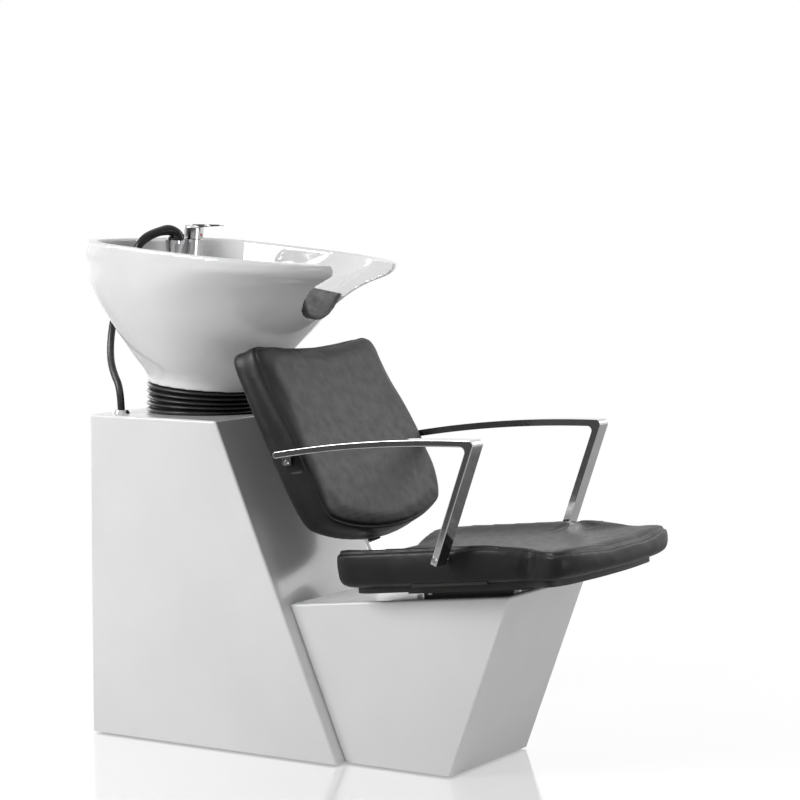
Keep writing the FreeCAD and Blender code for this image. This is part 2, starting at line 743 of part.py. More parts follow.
def neck_rest():
    hollow = notch_tool(NOTCH_R - PAD_T, PAD_FRONT - 20, PAD_REAR + 20, 2 * PAD_TOP).translated(V(0, 0, PAD_T))
    return on_basin(notch_tool(NOTCH_R, PAD_FRONT, PAD_REAR, PAD_TOP).cut(hollow))


# Waste

def waste_fitting():
    low = FLOOR_Z - WALL - BRACKET_T - WASTE_DROP
    flange = cyl(FLANGE_R, V(0, 0, FLOOR_Z), V(0, 0, 1), FLANGE_T)
    body = cyl(WASTE_R, V(0, 0, low), V(0, 0, 1), FLOOR_Z - low)
    tools = [
        cyl(WASTE_R - WASTE_WALL, V(0, 0, low - 1), V(0, 0, 1), 2 * FLOOR_Z),
        cyl(FLANGE_R - WASTE_WALL, V(0, 0, FLOOR_Z + SEAT_DEPTH), V(0, 0, 1), FLANGE_T),
    ]
    return on_basin(cut(fuse([flange, body]), tools))


def waste_nut():
    top = FLOOR_Z - WALL - BRACKET_T
    nut = hexagon(NUT_ACROSS, V(0, 0, top - NUT_H), NUT_H)
    return on_basin(nut.cut(cyl(WASTE_R, V(0, 0, top - NUT_H - 1), V(0, 0, 1), NUT_H + 2)))


def waste_tail():
    top = FLOOR_Z - WALL - BRACKET_T - WASTE_DROP
    cap = cyl(WASTE_R + CAP_LAP, V(0, 0, top - CAP_LAP), V(0, 0, 1), CAP_H)
    cap = cap.cut(cyl(WASTE_R, V(0, 0, top), V(0, 0, 1), CAP_H))
    pipe = cyl(TAIL_R, V(0, 0, TAIL_END), V(0, 0, 1), top - CAP_LAP - TAIL_END)
    bore = cyl(TAIL_R - TAIL_WALL, V(0, 0, TAIL_END - 1), V(0, 0, 1), FLOOR_Z - TAIL_END)
    return on_basin(fuse([cap, pipe]).cut(bore))


def hair_trap():
    z = FLOOR_Z + SEAT_DEPTH
    narrow = WASTE_WALL + TRAP_GAP
    disc = cyl(FLANGE_R - narrow, V(0, 0, z), V(0, 0, 1), 2.0)
    skirt = ring(WASTE_R - narrow, WASTE_R - narrow - 1.6, V(0, 0, z - TRAP_SKIRT), V(0, 0, 1), TRAP_SKIRT)
    knob = cyl(KNOB_R, V(0, 0, z + 2), V(0, 0, 1), KNOB_H)
    holes = []
    for count, radius in TRAP_RINGS:
        for k in range(count):
            a = 2 * math.pi * k / count
            holes.append(cyl(TRAP_HOLE_R, V(radius * math.cos(a), radius * math.sin(a), z - 1), V(0, 0, 1), 4))
    return on_basin(fuse([cut(disc, holes), skirt, knob]))


# Tap

def mixer_body():
    up = V(0, 0, 1)
    low = DECK_Z - SHANK_LEN
    parts = [cyl(MIXER_R + MIXER_FOOT, V(MIXER_X, MIXER_Y, DECK_Z), up, MIXER_FOOT_H)]
    parts.append(cyl(MIXER_R, V(MIXER_X, MIXER_Y, DECK_Z), up, MIXER_H))
    parts.append(cyl(SHANK_R, V(MIXER_X, MIXER_Y, low), up, SHANK_LEN))
    for side in (-1, 1):
        parts.append(cyl(INLET_R, V(MIXER_X + side * INLET_GAP, MIXER_Y, INLET_END), up, low - INLET_END))
    seat = cyl(CART_R + PIN_CLEAR, V(MIXER_X, MIXER_Y, DECK_Z + MIXER_H - CART_DEPTH), up, 2 * CART_DEPTH)
    return on_basin(fuse(parts).cut(seat))


def mixer_nut():
    top = DECK_Z - WALL
    washer = cyl(SHANK_R + 5, V(MIXER_X, MIXER_Y, top - 3), V(0, 0, 1), 3)
    nut = hexagon(TAP_NUT, V(MIXER_X, MIXER_Y, top - 13), 10)
    whole = fuse([washer, nut])
    return on_basin(whole.cut(cyl(SHANK_R, V(MIXER_X, MIXER_Y, top - 14), V(0, 0, 1), 20)))


def mixer_cartridge():
    low = DECK_Z + MIXER_H - CART_DEPTH
    axis = DECK_Z + LEVER_AXIS_Z
    barrel = cyl(CART_R, V(MIXER_X, MIXER_Y, low), V(0, 0, 1), CART_DEPTH + 2)
    post = box(MIXER_X - 5, MIXER_X + 5, MIXER_Y - 6, MIXER_Y + 6, low + CART_DEPTH + 2, axis + 4)
    pivot = cyl(PIVOT_R, V(MIXER_X - PIVOT_HALF, MIXER_Y, axis), V(1, 0, 0), 2 * PIVOT_HALF)
    return on_basin(fuse([barrel, post, pivot]))


def mixer_lever():
    low = DECK_Z + MIXER_H + LEVER_GAP
    top = DECK_Z + LEVER_TOP
    axis = DECK_Z + LEVER_AXIS_Z
    cap = cyl(MIXER_R, V(MIXER_X, MIXER_Y, low), V(0, 0, 1), top - low)
    cap = cap.makeFillet(5.0, [e for e in cap.Edges if e.BoundBox.ZMin > top - 1 and e.BoundBox.ZLength < 1])
    hollow = cyl(MIXER_R - LEVER_WALL, V(MIXER_X, MIXER_Y, low - 1), V(0, 0, 1), top - low - LEVER_WALL - 1)
    rise = 2 * MIXER_R * math.tan(math.radians(LEVER_LIFT + 3))
    heel = prism_x([(MIXER_Y, low), (MIXER_Y + 2 * MIXER_R, low), (MIXER_Y + 2 * MIXER_R, low + rise)],
                   MIXER_X - 2 * MIXER_R, MIXER_X + 2 * MIXER_R)
    blade = prism_x([(MIXER_Y + y, top + z) for y, z in BLADE], MIXER_X - BLADE_HALF, MIXER_X + BLADE_HALF)
    blade = blade.makeFillet(1.0, edges_along(blade, V(1, 0, 0), 1))
    lever = fuse([cut(cap, [hollow, heel]), blade])
    ears = []
    for sign in (-1, 1):
        x = MIXER_X + sign * EAR_X
        ears.append(box(x - EAR_HALF, x + EAR_HALF, MIXER_Y - EAR_DEPTH, MIXER_Y + EAR_DEPTH,
                        axis - EAR_DEPTH, top - LEVER_WALL - 1.5))
    lever = fuse([lever] + ears)
    reach = EAR_X + EAR_HALF + 1
    axle = cyl(PIVOT_R + PIN_CLEAR, V(MIXER_X - reach, MIXER_Y, axis), V(1, 0, 0), 2 * reach)
    dot = cyl(DOT_R, V(MIXER_X, MIXER_Y - MIXER_R - 1, DECK_Z + DOT_Z), V(0, 1, 0), 2.5)
    return on_basin(cut(lever, [axle, dot]))


def lever_dot():
    return on_basin(cyl(DOT_R, V(MIXER_X, MIXER_Y - MIXER_R - 0.4, DECK_Z + DOT_Z), V(0, 1, 0), 1.9))


# Hand shower

def round_loft(stations):
    wires = []
    for k, (x, y, z, r) in enumerate(stations):
        before = stations[max(k - 1, 0)]
        after = stations[min(k + 1, len(stations) - 1)]
        run = V(after[0] - before[0], after[1] - before[1], after[2] - before[2])
        wires.append(Part.Wire([Part.Edge(Part.Circle(V(x, y, z), run, r))]))
    return loft(wires)


def hand_shower():
    return on_basin(round_loft(HANDLE))


def spray_face():
    z = HANDLE[-1][2]
    rim = cyl(HEAD_R + 1, V(HOLDER_X, HOLDER_Y, z - FACE_H), V(0, 0, 1), FACE_H)
    nozzles = []
    for k in range(8):
        a = math.pi * k / 4
        x, y = HOLDER_X + NOZZLE_RING * math.cos(a), HOLDER_Y + NOZZLE_RING * math.sin(a)
        nozzles.append(cyl(NOZZLE_R, V(x, y, z - FACE_H - 1.5), V(0, 0, 1), 2))
    return on_basin(fuse([rim] + nozzles))


def shower_holder():
    x, y = HOLDER_X, HOLDER_Y
    seat = HANDLE[-1][2] - CUP_H
    inner = HEAD_R + 1.3
    base = cyl(HOLDER_FOOT_R, V(x, y, DECK_Z), V(0, 0, 1), 4)
    cone = Part.makeCone(HOLDER_STEM_R, inner + CUP_WALL, seat - DECK_Z - 4, V(x, y, DECK_Z + 4), V(0, 0, 1))
    cup = ring(inner + CUP_WALL, inner, V(x, y, seat), V(0, 0, 1), CUP_H)
    stud = cyl(HOLDER_STUD_R, V(x, y, DECK_Z - HOLDER_STUD_LEN), V(0, 0, 1), HOLDER_STUD_LEN)
    return on_basin(fuse([base, cone, cup, stud]))


def holder_nut():
    top = DECK_Z - WALL
    nut = fuse([cyl(14.0, V(HOLDER_X, HOLDER_Y, top - 2.5), V(0, 0, 1), 2.5),
                hexagon(17.0, V(HOLDER_X, HOLDER_Y, top - 10.5), 8)])
    return on_basin(nut.cut(cyl(HOLDER_STUD_R, V(HOLDER_X, HOLDER_Y, top - 12), V(0, 0, 1), 20)))


def hose_bush():
    low = DECK_Z - WALL - BUSH_DROP
    collar = cyl(BUSH_R + BUSH_LIP, V(HOSE_X, HOSE_Y, DECK_Z), V(0, 0, 1), BUSH_LIP)
    sleeve = cyl(BUSH_R, V(HOSE_X, HOSE_Y, low), V(0, 0, 1), WALL + BUSH_DROP)
    nut = hexagon(TAP_NUT, V(HOSE_X, HOSE_Y, low + 1), BUSH_DROP - 1)
    bore = cyl(HOSE_R + SOFT_GAP, V(HOSE_X, HOSE_Y, 0), V(0, 0, 1), 2 * DECK_Z)
    return on_basin(fuse([collar, sleeve, nut]).cut(bore))


def hose_stub():
    low = DECK_Z - WALL - STUB_DROP
    return on_basin(cyl(HOSE_R - SOFT_GAP, V(HOSE_X, HOSE_Y, low), V(0, 0, 1), HANDLE[0][2] - low))


# Hose: straight runs joined by tangent arcs

def hose_points():
    mouth = basin_point(HOSE_X, HOSE_Y + MOUTH_OUT, MOUTH_Z)
    hang = [V(x, REAR_Y + y, PED_TOP + z) for x, y, z in HOSE_HANG]
    last = [V(GROMMET_X, GROMMET_Y, z) for z in (PED_TOP + GROMMET_RISE, PED_TOP - 2 * SHELL)]
    return [mouth] + hang + last


def hose_path(points):
    edges = []
    here = points[0]
    radii = []
    for a, b, c in zip(points, points[1:], points[2:]):
        into = (b - a).normalize()
        out = (c - b).normalize()
        turn = math.acos(max(-1, min(1, into.dot(out))))
        reach = 0.45 * min((b - a).Length, (c - b).Length)
        radii.append(reach / math.tan(turn / 2))
        first, last = b - into * reach, b + out * reach
        towards = (out - into).normalize()
        middle = b + towards * (radii[-1] / math.cos(turn / 2) - radii[-1])
        edges.append(Part.makeLine(here, first))
        edges.append(Part.Arc(first, middle, last).toShape())
        here = last
    edges.append(Part.makeLine(here, points[-1]))
    return Part.Wire(edges), radii


def shower_hose():
    points = hose_points()
    path, radii = hose_path(points)
    run = points[1] - points[0]
    section = Part.Wire([Part.Edge(Part.Circle(points[0], run, HOSE_R))])
    tube = path.makePipeShell([section], True, True)
    print("hose radii", [round(r, 1) for r in radii], "volume ratio",
          round(tube.Volume / (math.pi * HOSE_R ** 2 * path.Length), 4))
    return tube


def hose_elbow():
    top = basin_point(HOSE_X, HOSE_Y, DECK_Z - WALL - BUSH_DROP)
    points = [top, basin_point(HOSE_X, HOSE_Y, ELBOW_Z), hose_points()[0]]
    path = hose_path(points)[0]
    pipes = []
    for radius in (HOSE_R + ELBOW_WALL, HOSE_R):
        section = Part.Wire([Part.Edge(Part.Circle(top, points[1] - top, radius))])
        pipes.append(path.makePipeShell([section], True, True))
    return pipes[0].cut(pipes[1])


def hose_grommet():
    x, y = GROMMET_X, GROMMET_Y
    collar = Part.makeCone(GROMMET_R + 6, GROMMET_R + 2, 7.0, V(x, y, PED_TOP), V(0, 0, 1))
    sleeve = cyl(GROMMET_R, V(x, y, PED_TOP - SHELL - 6), V(0, 0, 1), SHELL + 6)
    bore = cyl(HOSE_R + SOFT_GAP, V(x, y, PED_TOP - 50), V(0, 0, 1), 100)
    return fuse([collar, sleeve]).cut(bore)


# Seat

def seat_riser():
    outer = box(-RISER_HALF_X, RISER_HALF_X, RISER_Y0, RISER_Y1, 0, RISER_H)
    x = RISER_HALF_X - RISER_RIM_X
    inner = box(-x, x, RISER_Y0 + RISER_RIM_Y, RISER_Y1 - RISER_RIM_Y, -1, RISER_H + 1)
    holes = [cyl(BIG_BOLT_R, V(x, y, -1), V(0, 0, 1), RISER_H + 2) for x, y in riser_bolt_spots()]
    return on_seat(cut(outer, [inner] + holes))


def riser_bolts():
    bolts = []
    for x, y in riser_bolt_spots():
        low = -SHELL - PLATE_T - BOLT_TAIL
        top = SEAT_BOARD_Z
        shank = cyl(BIG_BOLT_R, V(x, y, low), V(0, 0, 1), top - low)
        head = Part.makeCone(BIG_BOLT_R, BIG_BOLT_R + SINK_H, SINK_H, V(x, y, top - SINK_H), V(0, 0, 1))
        bolts.append(on_seat(fuse([shank, head])))
    return bolts


def plate_bolt_spots():
    ends = (PLATE_Y0 + PLATE_BOLT_IN, PLATE_Y1 - PLATE_BOLT_IN)
    return [(sx * PLATE_BOLT_X, y) for sx in (-1, 1) for y in ends]


def seat_plate():
    plate = box(-PLATE_HALF_X, PLATE_HALF_X, PLATE_Y0, PLATE_Y1, RISER_H, SEAT_BOARD_Z)
    plate = plate.makeFillet(PLATE_ROUND, edges_along(plate, V(0, 0, 1), 1))
    tools = []
    for x, y in riser_bolt_spots():
        tools.append(cyl(BIG_BOLT_R, V(x, y, 0), V(0, 0, 1), SEAT_Z))
        tools.append(Part.makeCone(BIG_BOLT_R, BIG_BOLT_R + SINK_H, SINK_H, V(x, y, SEAT_BOARD_Z - SINK_H)))
    for x, y in plate_bolt_spots():
        tools.append(cyl(BOLT_R, V(x, y, 0), V(0, 0, 1), SEAT_Z))
    return on_seat(cut(plate, tools))


def plate_bolts():
    bolts = []
    for x, y in plate_bolt_spots():
        shank = cyl(BOLT_R, V(x, y, RISER_H), V(0, 0, 1), SEAT_PLATE_T + BOARD_T - 2)
        bolts.append(on_seat(fuse([shank, hexagon(BOLT_HEX, V(x, y, RISER_H - BOLT_HEX_H), BOLT_HEX_H)])))
    return bolts


def ease(low, high, value):
    t = max(0.0, min(1.0, (value - low) / (high - low)))
    return t * t * (3 - 2 * t)


def seat_edge_height(x, y):
    front = ease(*DROP_Y, y)
    side = ease(*BOLSTER_X, abs(x))
    middle = DISH_H - NOSE_DROP * front
    return middle + (BOLSTER_H - CORNER_DROP * front - middle) * side


def plan_loop(side_in, front_in, height):
    rear = SEAT_PLAN[0][1]
    front = SEAT_PLAN[-1][1]
    half = max(x for x, y in SEAT_PLAN)
    middle = (rear + front) / 2
    length = (rear - front) / 2
    points = []
    for x, y in SEAT_PLAN + [(-x, y) for x, y in SEAT_PLAN[-2:0:-1]]:
        shrink = side_in + (front_in - side_in) * (rear - y) / (rear - front)
        near = middle + (y - middle) * (length - shrink) / length
        points.append(V(x * (half - side_in) / half, near, height(x, y)))
    return loop(points)


def seat_cushion():
    rows = []
    for share, side, front in SEAT_ROWS:
        rows.append(plan_loop(side, front, lambda x, y: SEAT_Z + share * seat_edge_height(x, y)))
    for share, side, front in SEAT_TOP_ROWS:
        rows.append(plan_loop(side, front, lambda x, y: (SEAT_Z + DISH_H * share
                                                         + (1 - share) * seat_edge_height(x, y))))
    whole = on_seat(cut(loft(rows, ruled=True), seat_battens()))
    y, z = foot_bolt_spot()
    low = BATTEN_X1 - BOLT_GRIP - 1
    return cut(whole, both(cyl(BOSS_R + BOSS_GAP, V(low, y, z), V(1, 0, 0), ARM_INNER - low)))


def seat_battens():
    y = (foot_bolt_spot()[0] - PLINTH_REAR_Y) / math.cos(SLOPE)
    return both(box(BATTEN_X0, BATTEN_X1, y - BATTEN_HALF, y + BATTEN_HALF, SEAT_Z - 1, SEAT_Z + BATTEN_TOP))


def seat_board():
    edge = plan_loop(BOARD_IN_SIDE, BOARD_IN_FRONT, lambda x, y: SEAT_BOARD_Z)
    board = fuse([Part.Face(edge).extrude(V(0, 0, BOARD_T))] + seat_battens())
    holes = []
    for x, y in plate_bolt_spots() + spine_foot_spots():
        holes.append(cyl(BOLT_R, V(x, y, SEAT_BOARD_Z - 1), V(0, 0, 1), BOARD_T - 1))
    y, z = foot_bolt_spot()
    return cut(on_seat(cut(board, holes)),
               both(cyl(BOLT_R, V(BATTEN_X1 - BOLT_GRIP, y, z), V(1, 0, 0), BOLT_GRIP + 1)))


# Arms

def chair_point(spot):
    return PLINTH_REAR_Y + spot[0], PLINTH_REAR_TOP + spot[1]


def strut_across():
    (by, bz), (cy, cz) = chair_point(ARM_FRONT), chair_point(ARM_FOOT)
    run = math.hypot(cy - by, cz - bz)
    return (by - cy) / run, (bz - cz) / run


def foot_bolt_spot():
    y, z = chair_point(ARM_FOOT)
    uy, uz = strut_across()
    return y + uz * ARM_T / 2 + uy * FOOT_BOLT_UP, z - uy * ARM_T / 2 + uz * FOOT_BOLT_UP


def rear_bolt_spot():
    y, z = chair_point(ARM_REAR)
    return y, z - ARM_T - REAR_BOLT_DROP


def arm_side():
    (ay, az), (my, mz), (by, bz), (cy, cz) = [chair_point(p) for p in (ARM_REAR, ARM_MID, ARM_FRONT, ARM_FOOT)]
    uy, uz = strut_across()
    low = (cy + uz * ARM_T, cz - uy * ARM_T)
    share = (bz - ARM_T - low[1]) / (bz - cz)
    corner = (low[0] + (by - cy) * share, bz - ARM_T)
    x = ARM_INNER
    top = Part.Arc(V(x, ay, az), V(x, my, mz), V(x, by, bz)).toShape()
    under = Part.Arc(V(x, corner[0], corner[1]), V(x, my, mz - ARM_T), V(x, ay, az - ARM_T)).toShape()
    end = Part.Arc(V(x, ay, az - ARM_T), V(x, ay + ARM_T / 2, az - ARM_T / 2), V(x, ay, az)).toShape()
    front = Part.makeLine(V(x, by, bz), V(x, cy, cz))
    foot = Part.makeLine(V(x, cy, cz), V(x, low[0], low[1]))
    back = Part.makeLine(V(x, low[0], low[1]), V(x, corner[0], corner[1]))
    return Part.Face(Part.Wire([top, front, foot, back, under, end]))


def arm():
    bar = arm_side().extrude(V(ARM_W, 0, 0))
    front = chair_point(ARM_FRONT)[0]
    corners = [e for e in edges_along(bar, V(1, 0, 0), 1) if e.BoundBox.YMin < front + ARM_W]
    bar = bar.makeFillet(ARM_CORNER, corners)
    outer = [e for e in bar.Edges if e.BoundBox.XMin > ARM_INNER + ARM_W - 1 and e.BoundBox.XLength < 1]
    bar = bar.makeFillet(ARM_EDGE, outer)
    y, z = rear_bolt_spot()
    top = chair_point(ARM_REAR)[1] - ARM_T / 2
    tab = box(ARM_INNER - TAB_T + 1, ARM_INNER + 1, y - REAR_TAB_HALF, y + REAR_TAB_HALF,
              top - REAR_TAB_DROP, top)
    fy, fz = foot_bolt_spot()
    boss = cyl(BOSS_R, V(BATTEN_X1, fy, fz), V(1, 0, 0), ARM_INNER - BATTEN_X1)
    holes = [cyl(BOLT_R, V(BATTEN_X1 - 1, fy, fz), V(1, 0, 0), ARM_INNER + ARM_W),
             cyl(BOLT_R, V(BATTEN_X1, y, z), V(1, 0, 0), ARM_INNER - BATTEN_X1 + 1)]
    return cut(fuse([bar, tab, boss]), holes)


def button_bolt(x, y, z, length):
    shank = cyl(BOLT_R, V(x - length, y, z), V(1, 0, 0), length)
    head = Part.makeCone(BUTTON_R, BUTTON_FACE_R, BUTTON_H, V(x, y, z), V(1, 0, 0))
    return fuse([shank, head])


def arm_foot_bolts():
    y, z = foot_bolt_spot()
    x = ARM_INNER + ARM_W
    return both(button_bolt(x, y, z, x - BATTEN_X1 + BOLT_GRIP))


def arm_rear_bolts():
    y, z = rear_bolt_spot()
    x = ARM_INNER + 1
    return both(button_bolt(x, y, z, x - BACK_BATTEN_X1 + BOLT_GRIP))


# Back

def lumbar_reach(z):
    return LUMBAR * (ease(20.0, 130.0, z) * (1 - ease(190.0, 360.0, z)) - 0.45 * ease(250.0, 400.0, z))


def back_loop(y, inset, share=0.0):
    middle = BACK_LEN / 2
    points = []
    for x, z in BACK_PLAN + [(-x, z) for x, z in BACK_PLAN[-2:0:-1]]:
        points.append(V(x * (BACK_HALF - inset) / BACK_HALF, y - share * lumbar_reach(z),
                        middle + (z - middle) * (middle - inset) / middle))
    return loop(points)


def back_battens():
    front = BACK_BOARD_Y - BACK_BATTEN_DEPTH
    return both(box(BACK_BATTEN_X0, BACK_BATTEN_X1, front, BACK_BOARD_Y + 1, *BACK_BATTEN_Z))


def back_panel(inset):
    return Part.Face(back_loop(BACK_BOARD_Y, inset)).extrude(V(0, BACK_BOARD_T, 0))


def back_cushion():
    body = loft([back_loop(y, inset, share) for y, inset, share in BACK_ROWS], ruled=True)
    recess = back_panel(BACK_BOARD_IN - BACK_BOARD_GAP)
    whole = on_back(cut(body, [recess] + back_battens()))
    y, z = rear_bolt_spot()
    return cut(whole, both(cyl(BOLT_R + 1, V(BACK_BATTEN_X1 - BOLT_GRIP - 1, y, z), V(1, 0, 0), ARM_INNER)))


def back_board():
    board = fuse([back_panel(BACK_BOARD_IN)] + back_battens())
    holes = [cyl(BOLT_R, V(x, BACK_BOARD_Y, z), V(0, 1, 0), BACK_T) for x, z in spine_top_spots()]
    y, z = rear_bolt_spot()
    return cut(on_back(cut(board, holes)),
               both(cyl(BOLT_R, V(BACK_BATTEN_X1 - BOLT_GRIP, y, z), V(1, 0, 0), BOLT_GRIP + 1)))


def spine_foot_spots():
    return [(0.0, PLATE_Y1 + y) for y in SPINE_FOOT_BOLTS]


def spine_top_spots():
    return [(0.0, z) for z in SPINE_TOP_BOLTS]


def back_spine():
    foot = seat_point(PLATE_Y1 + SPINE_GAP, SEAT_BOARD_Z - SPINE_T / 2)
    along = (seat_point(0, SEAT_BOARD_Z - SPINE_T / 2) - foot).normalize()
    top = back_point(BACK_T + SPINE_T / 2, SPINE_TOP)
    down = (back_point(BACK_T + SPINE_T / 2, 0) - top).normalize()
    det = along.y * (-down.z) + along.z * down.y
    gap = top - foot
    reach = (gap.y * (-down.z) + gap.z * down.y) / det
    knee = foot + along * reach
    turn = math.acos(along.dot((top - knee).normalize()))
    cutback = SPINE_BEND * math.tan(turn / 2)
    first, last = knee - along * cutback, knee + (top - knee).normalize() * cutback
    towards = ((top - knee).normalize() - along).normalize()
    middle = knee + towards * (SPINE_BEND / math.cos(turn / 2) - SPINE_BEND)
    arc = Part.Arc(first, middle, last).toShape()
    path = Part.Wire([Part.makeLine(foot, first), arc, Part.makeLine(last, top)])
    normal = V(0, -along.z, along.y)
    half = normal * (SPINE_T / 2)
    side = V(SPINE_W / 2, 0, 0)
    corners = [foot + half + side, foot + half - side, foot - half - side, foot - half + side]
    section = Part.makePolygon(corners + corners[:1])
    bar = path.makePipeShell([section], True, True)
    holes = [on_seat(cyl(BOLT_R, V(x, y, 0), V(0, 0, 1), SEAT_Z)) for x, y in spine_foot_spots()]
    holes += [on_back(cyl(BOLT_R, V(x, BACK_BOARD_Y, z), V(0, 1, 0), BACK_T)) for x, z in spine_top_spots()]
    return cut(bar, holes)


def spine_bolts():
    bolts = []
    for x, y in spine_foot_spots():
        low = SEAT_BOARD_Z - SPINE_T
        shank = cyl(BOLT_R, V(x, y, low), V(0, 0, 1), SPINE_T + BOARD_T - 2)
        bolts.append(on_seat(fuse([shank, hexagon(BOLT_HEX, V(x, y, low - BOLT_HEX_H), BOLT_HEX_H)])))
    for x, z in spine_top_spots():
        rear = BACK_T + SPINE_T
        shank = cyl(BOLT_R, V(x, rear - SPINE_BOLT_LEN, z), V(0, 1, 0), SPINE_BOLT_LEN)
        head = cyl(BUTTON_R, V(x, rear, z), V(0, 1, 0), BUTTON_H)
        bolts.append(on_back(fuse([shank, head])))
    return bolts


save("pedestal_shell", pedestal_shell())
save("plinth_shell", plinth_shell())
save("service_panel", service_panel())
save("panel_screws", panel_screws())
save("floor_frame", floor_frame())
save("basin_stand", basin_stand())
save("seat_stand", seat_stand())
save("tilt_yoke", tilt_yoke())
save("yoke_bolts", yoke_bolts())
save("tilt_pins", tilt_pins())
save("basin_bracket", basin_bracket())
save("bellows", bellows())
save("basin", basin())
save("neck_rest", neck_rest())
save("waste_fitting", waste_fitting())
save("waste_nut", waste_nut())
save("waste_tail", waste_tail())
save("hair_trap", hair_trap())
save("mixer_body", mixer_body())
save("mixer_nut", mixer_nut())
save("mixer_cartridge", mixer_cartridge())
save("mixer_lever", mixer_lever())
save("lever_dot", lever_dot())
save("hand_shower", hand_shower())
save("spray_face", spray_face())
save("shower_holder", shower_holder())
save("holder_nut", holder_nut())
save("hose_bush", hose_bush())
save("hose_stub", hose_stub())
save("hose_elbow", hose_elbow())
save("shower_hose", shower_hose())
save("hose_grommet", hose_grommet())
save("seat_riser", seat_riser())
save("riser_bolts", riser_bolts())
save("seat_plate", seat_plate())
save("plate_bolts", plate_bolts())
save("seat_cushion", seat_cushion())
save("seat_board", seat_board())
save("arm_left", arm())
save("arm_right", mirrored(arm()))
save("arm_foot_bolts", arm_foot_bolts())
save("arm_rear_bolts", arm_rear_bolts())
save("back_cushion", back_cushion())
save("back_board", back_board())
save("back_spine", back_spine())
save("spine_bolts", spine_bolts())
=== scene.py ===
import json
import math

import bmesh
import bpy
import numpy as np
from mathutils import Matrix, Vector
from mathutils.bvhtree import BVHTree
from mathutils.kdtree import KDTree


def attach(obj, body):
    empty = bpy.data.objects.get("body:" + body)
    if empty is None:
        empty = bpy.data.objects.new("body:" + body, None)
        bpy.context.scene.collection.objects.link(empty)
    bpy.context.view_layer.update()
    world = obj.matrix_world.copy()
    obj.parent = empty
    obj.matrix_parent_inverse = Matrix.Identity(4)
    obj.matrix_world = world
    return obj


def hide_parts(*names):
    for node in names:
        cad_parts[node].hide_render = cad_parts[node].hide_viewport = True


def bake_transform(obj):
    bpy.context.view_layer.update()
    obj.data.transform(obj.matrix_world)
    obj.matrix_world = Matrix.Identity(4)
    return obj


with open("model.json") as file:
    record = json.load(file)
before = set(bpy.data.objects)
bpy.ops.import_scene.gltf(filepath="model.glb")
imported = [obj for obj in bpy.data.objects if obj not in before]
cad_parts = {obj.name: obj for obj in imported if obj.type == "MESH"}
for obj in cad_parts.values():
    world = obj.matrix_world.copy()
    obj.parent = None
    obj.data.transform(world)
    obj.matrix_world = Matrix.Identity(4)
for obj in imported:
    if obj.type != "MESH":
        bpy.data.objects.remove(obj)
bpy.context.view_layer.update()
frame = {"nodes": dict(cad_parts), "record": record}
nodes = frame["nodes"]
scene = bpy.context.scene
scene.view_settings.view_transform = "Standard"

MM = 0.001


# Camera, at the photograph's viewing angle (metres, radians, millimetres of lens)

CAMERA_PLACE = (-4.0195, -2.6584, 1.064)
CAMERA_HEADING = 0.5472
CAMERA_PITCH = 0.0789
CAMERA_LENS = 109.2
SENSOR_WIDTH = 36
FAR_CLIP = 100


def camera(place, heading, pitch, lens):
    data = bpy.data.cameras.new("camera")
    data.lens = lens
    data.sensor_width = SENSOR_WIDTH
    data.clip_end = FAR_CLIP
    cam = bpy.data.objects.new("camera", data)
    scene.collection.objects.link(cam)
    level = math.cos(pitch)
    ahead = Vector((math.cos(heading) * level, math.sin(heading) * level, -math.sin(pitch)))
    right = Vector((math.sin(heading), -math.cos(heading), 0))
    up = right.cross(ahead)
    turn = Matrix((right, up, -ahead)).transposed()
    cam.matrix_world = Matrix.Translation(place) @ turn.to_4x4()
    scene.camera = cam


camera(CAMERA_PLACE, CAMERA_HEADING, CAMERA_PITCH, CAMERA_LENS)


# Frames that the CAD uses for the basin, the seat and the back, in metres and degrees

HINGE_Y = 0.257
BASIN_REST_TILT = 5.3


def local_frame(y, z, degrees):
    return Matrix.Translation((0, y, z)) @ Matrix.Rotation(math.radians(degrees), 4, "X")


BASIN = local_frame(HINGE_Y, 0.685, BASIN_REST_TILT)
SEAT = local_frame(-0.0503338, 0.298, -6.5)
BACK = local_frame(-0.206, 0.432, -28)


# Mesh helpers

SMOOTH_FACTOR = 0.5
WELD_DISTANCE = 1e-5


def mesh_object(name, verts, faces):
    mesh = bpy.data.meshes.new(name)
    mesh.from_pydata([tuple(v) for v in verts], [], faces)
    mesh.update()
    mesh.shade_smooth()
    obj = bpy.data.objects.new(name, mesh)
    scene.collection.objects.link(obj)
    return obj


def loop_faces(rows, count, capped=True):
    """Faces between closed rings of count points each, with the two ends capped or left open."""
    faces = []
    for r in range(rows - 1):
        for k in range(count):
            n = (k + 1) % count
            faces.append((r * count + k, r * count + n, (r + 1) * count + n, (r + 1) * count + k))
    if capped:
        faces.append(tuple(reversed(range(count))))
        faces.append(tuple(range((rows - 1) * count, rows * count)))
    return faces


def tube(name, points, radius, sides):
    total = len(points)
    verts = []
    side = None
    for i, p in enumerate(points):
        before = points[i - 1] if i else p
        after = points[i + 1] if i < total - 1 else p
        along = (after - before).normalized()
        if side is None:
            side = along.orthogonal().normalized()
        side = (side - along * side.dot(along)).normalized()
        other = along.cross(side)
        for k in range(sides):
            a = 2 * math.pi * k / sides
            verts.append(p + (side * math.cos(a) + other * math.sin(a)) * radius)
    return mesh_object(name, verts, loop_faces(total, sides))


def use(obj, modifier):
    with bpy.context.temp_override(object=obj, active_object=obj, selected_objects=[obj]):
        bpy.ops.object.modifier_apply(modifier=modifier.name)


def remeshed(obj, voxel, smooth):
    step = obj.modifiers.new("remesh", "REMESH")
    step.mode = "VOXEL"
    step.voxel_size = voxel
    use(obj, step)
    step = obj.modifiers.new("smooth", "SMOOTH")
    step.factor = SMOOTH_FACTOR
    step.iterations = smooth
    use(obj, step)
    obj.data.shade_smooth()
    return obj


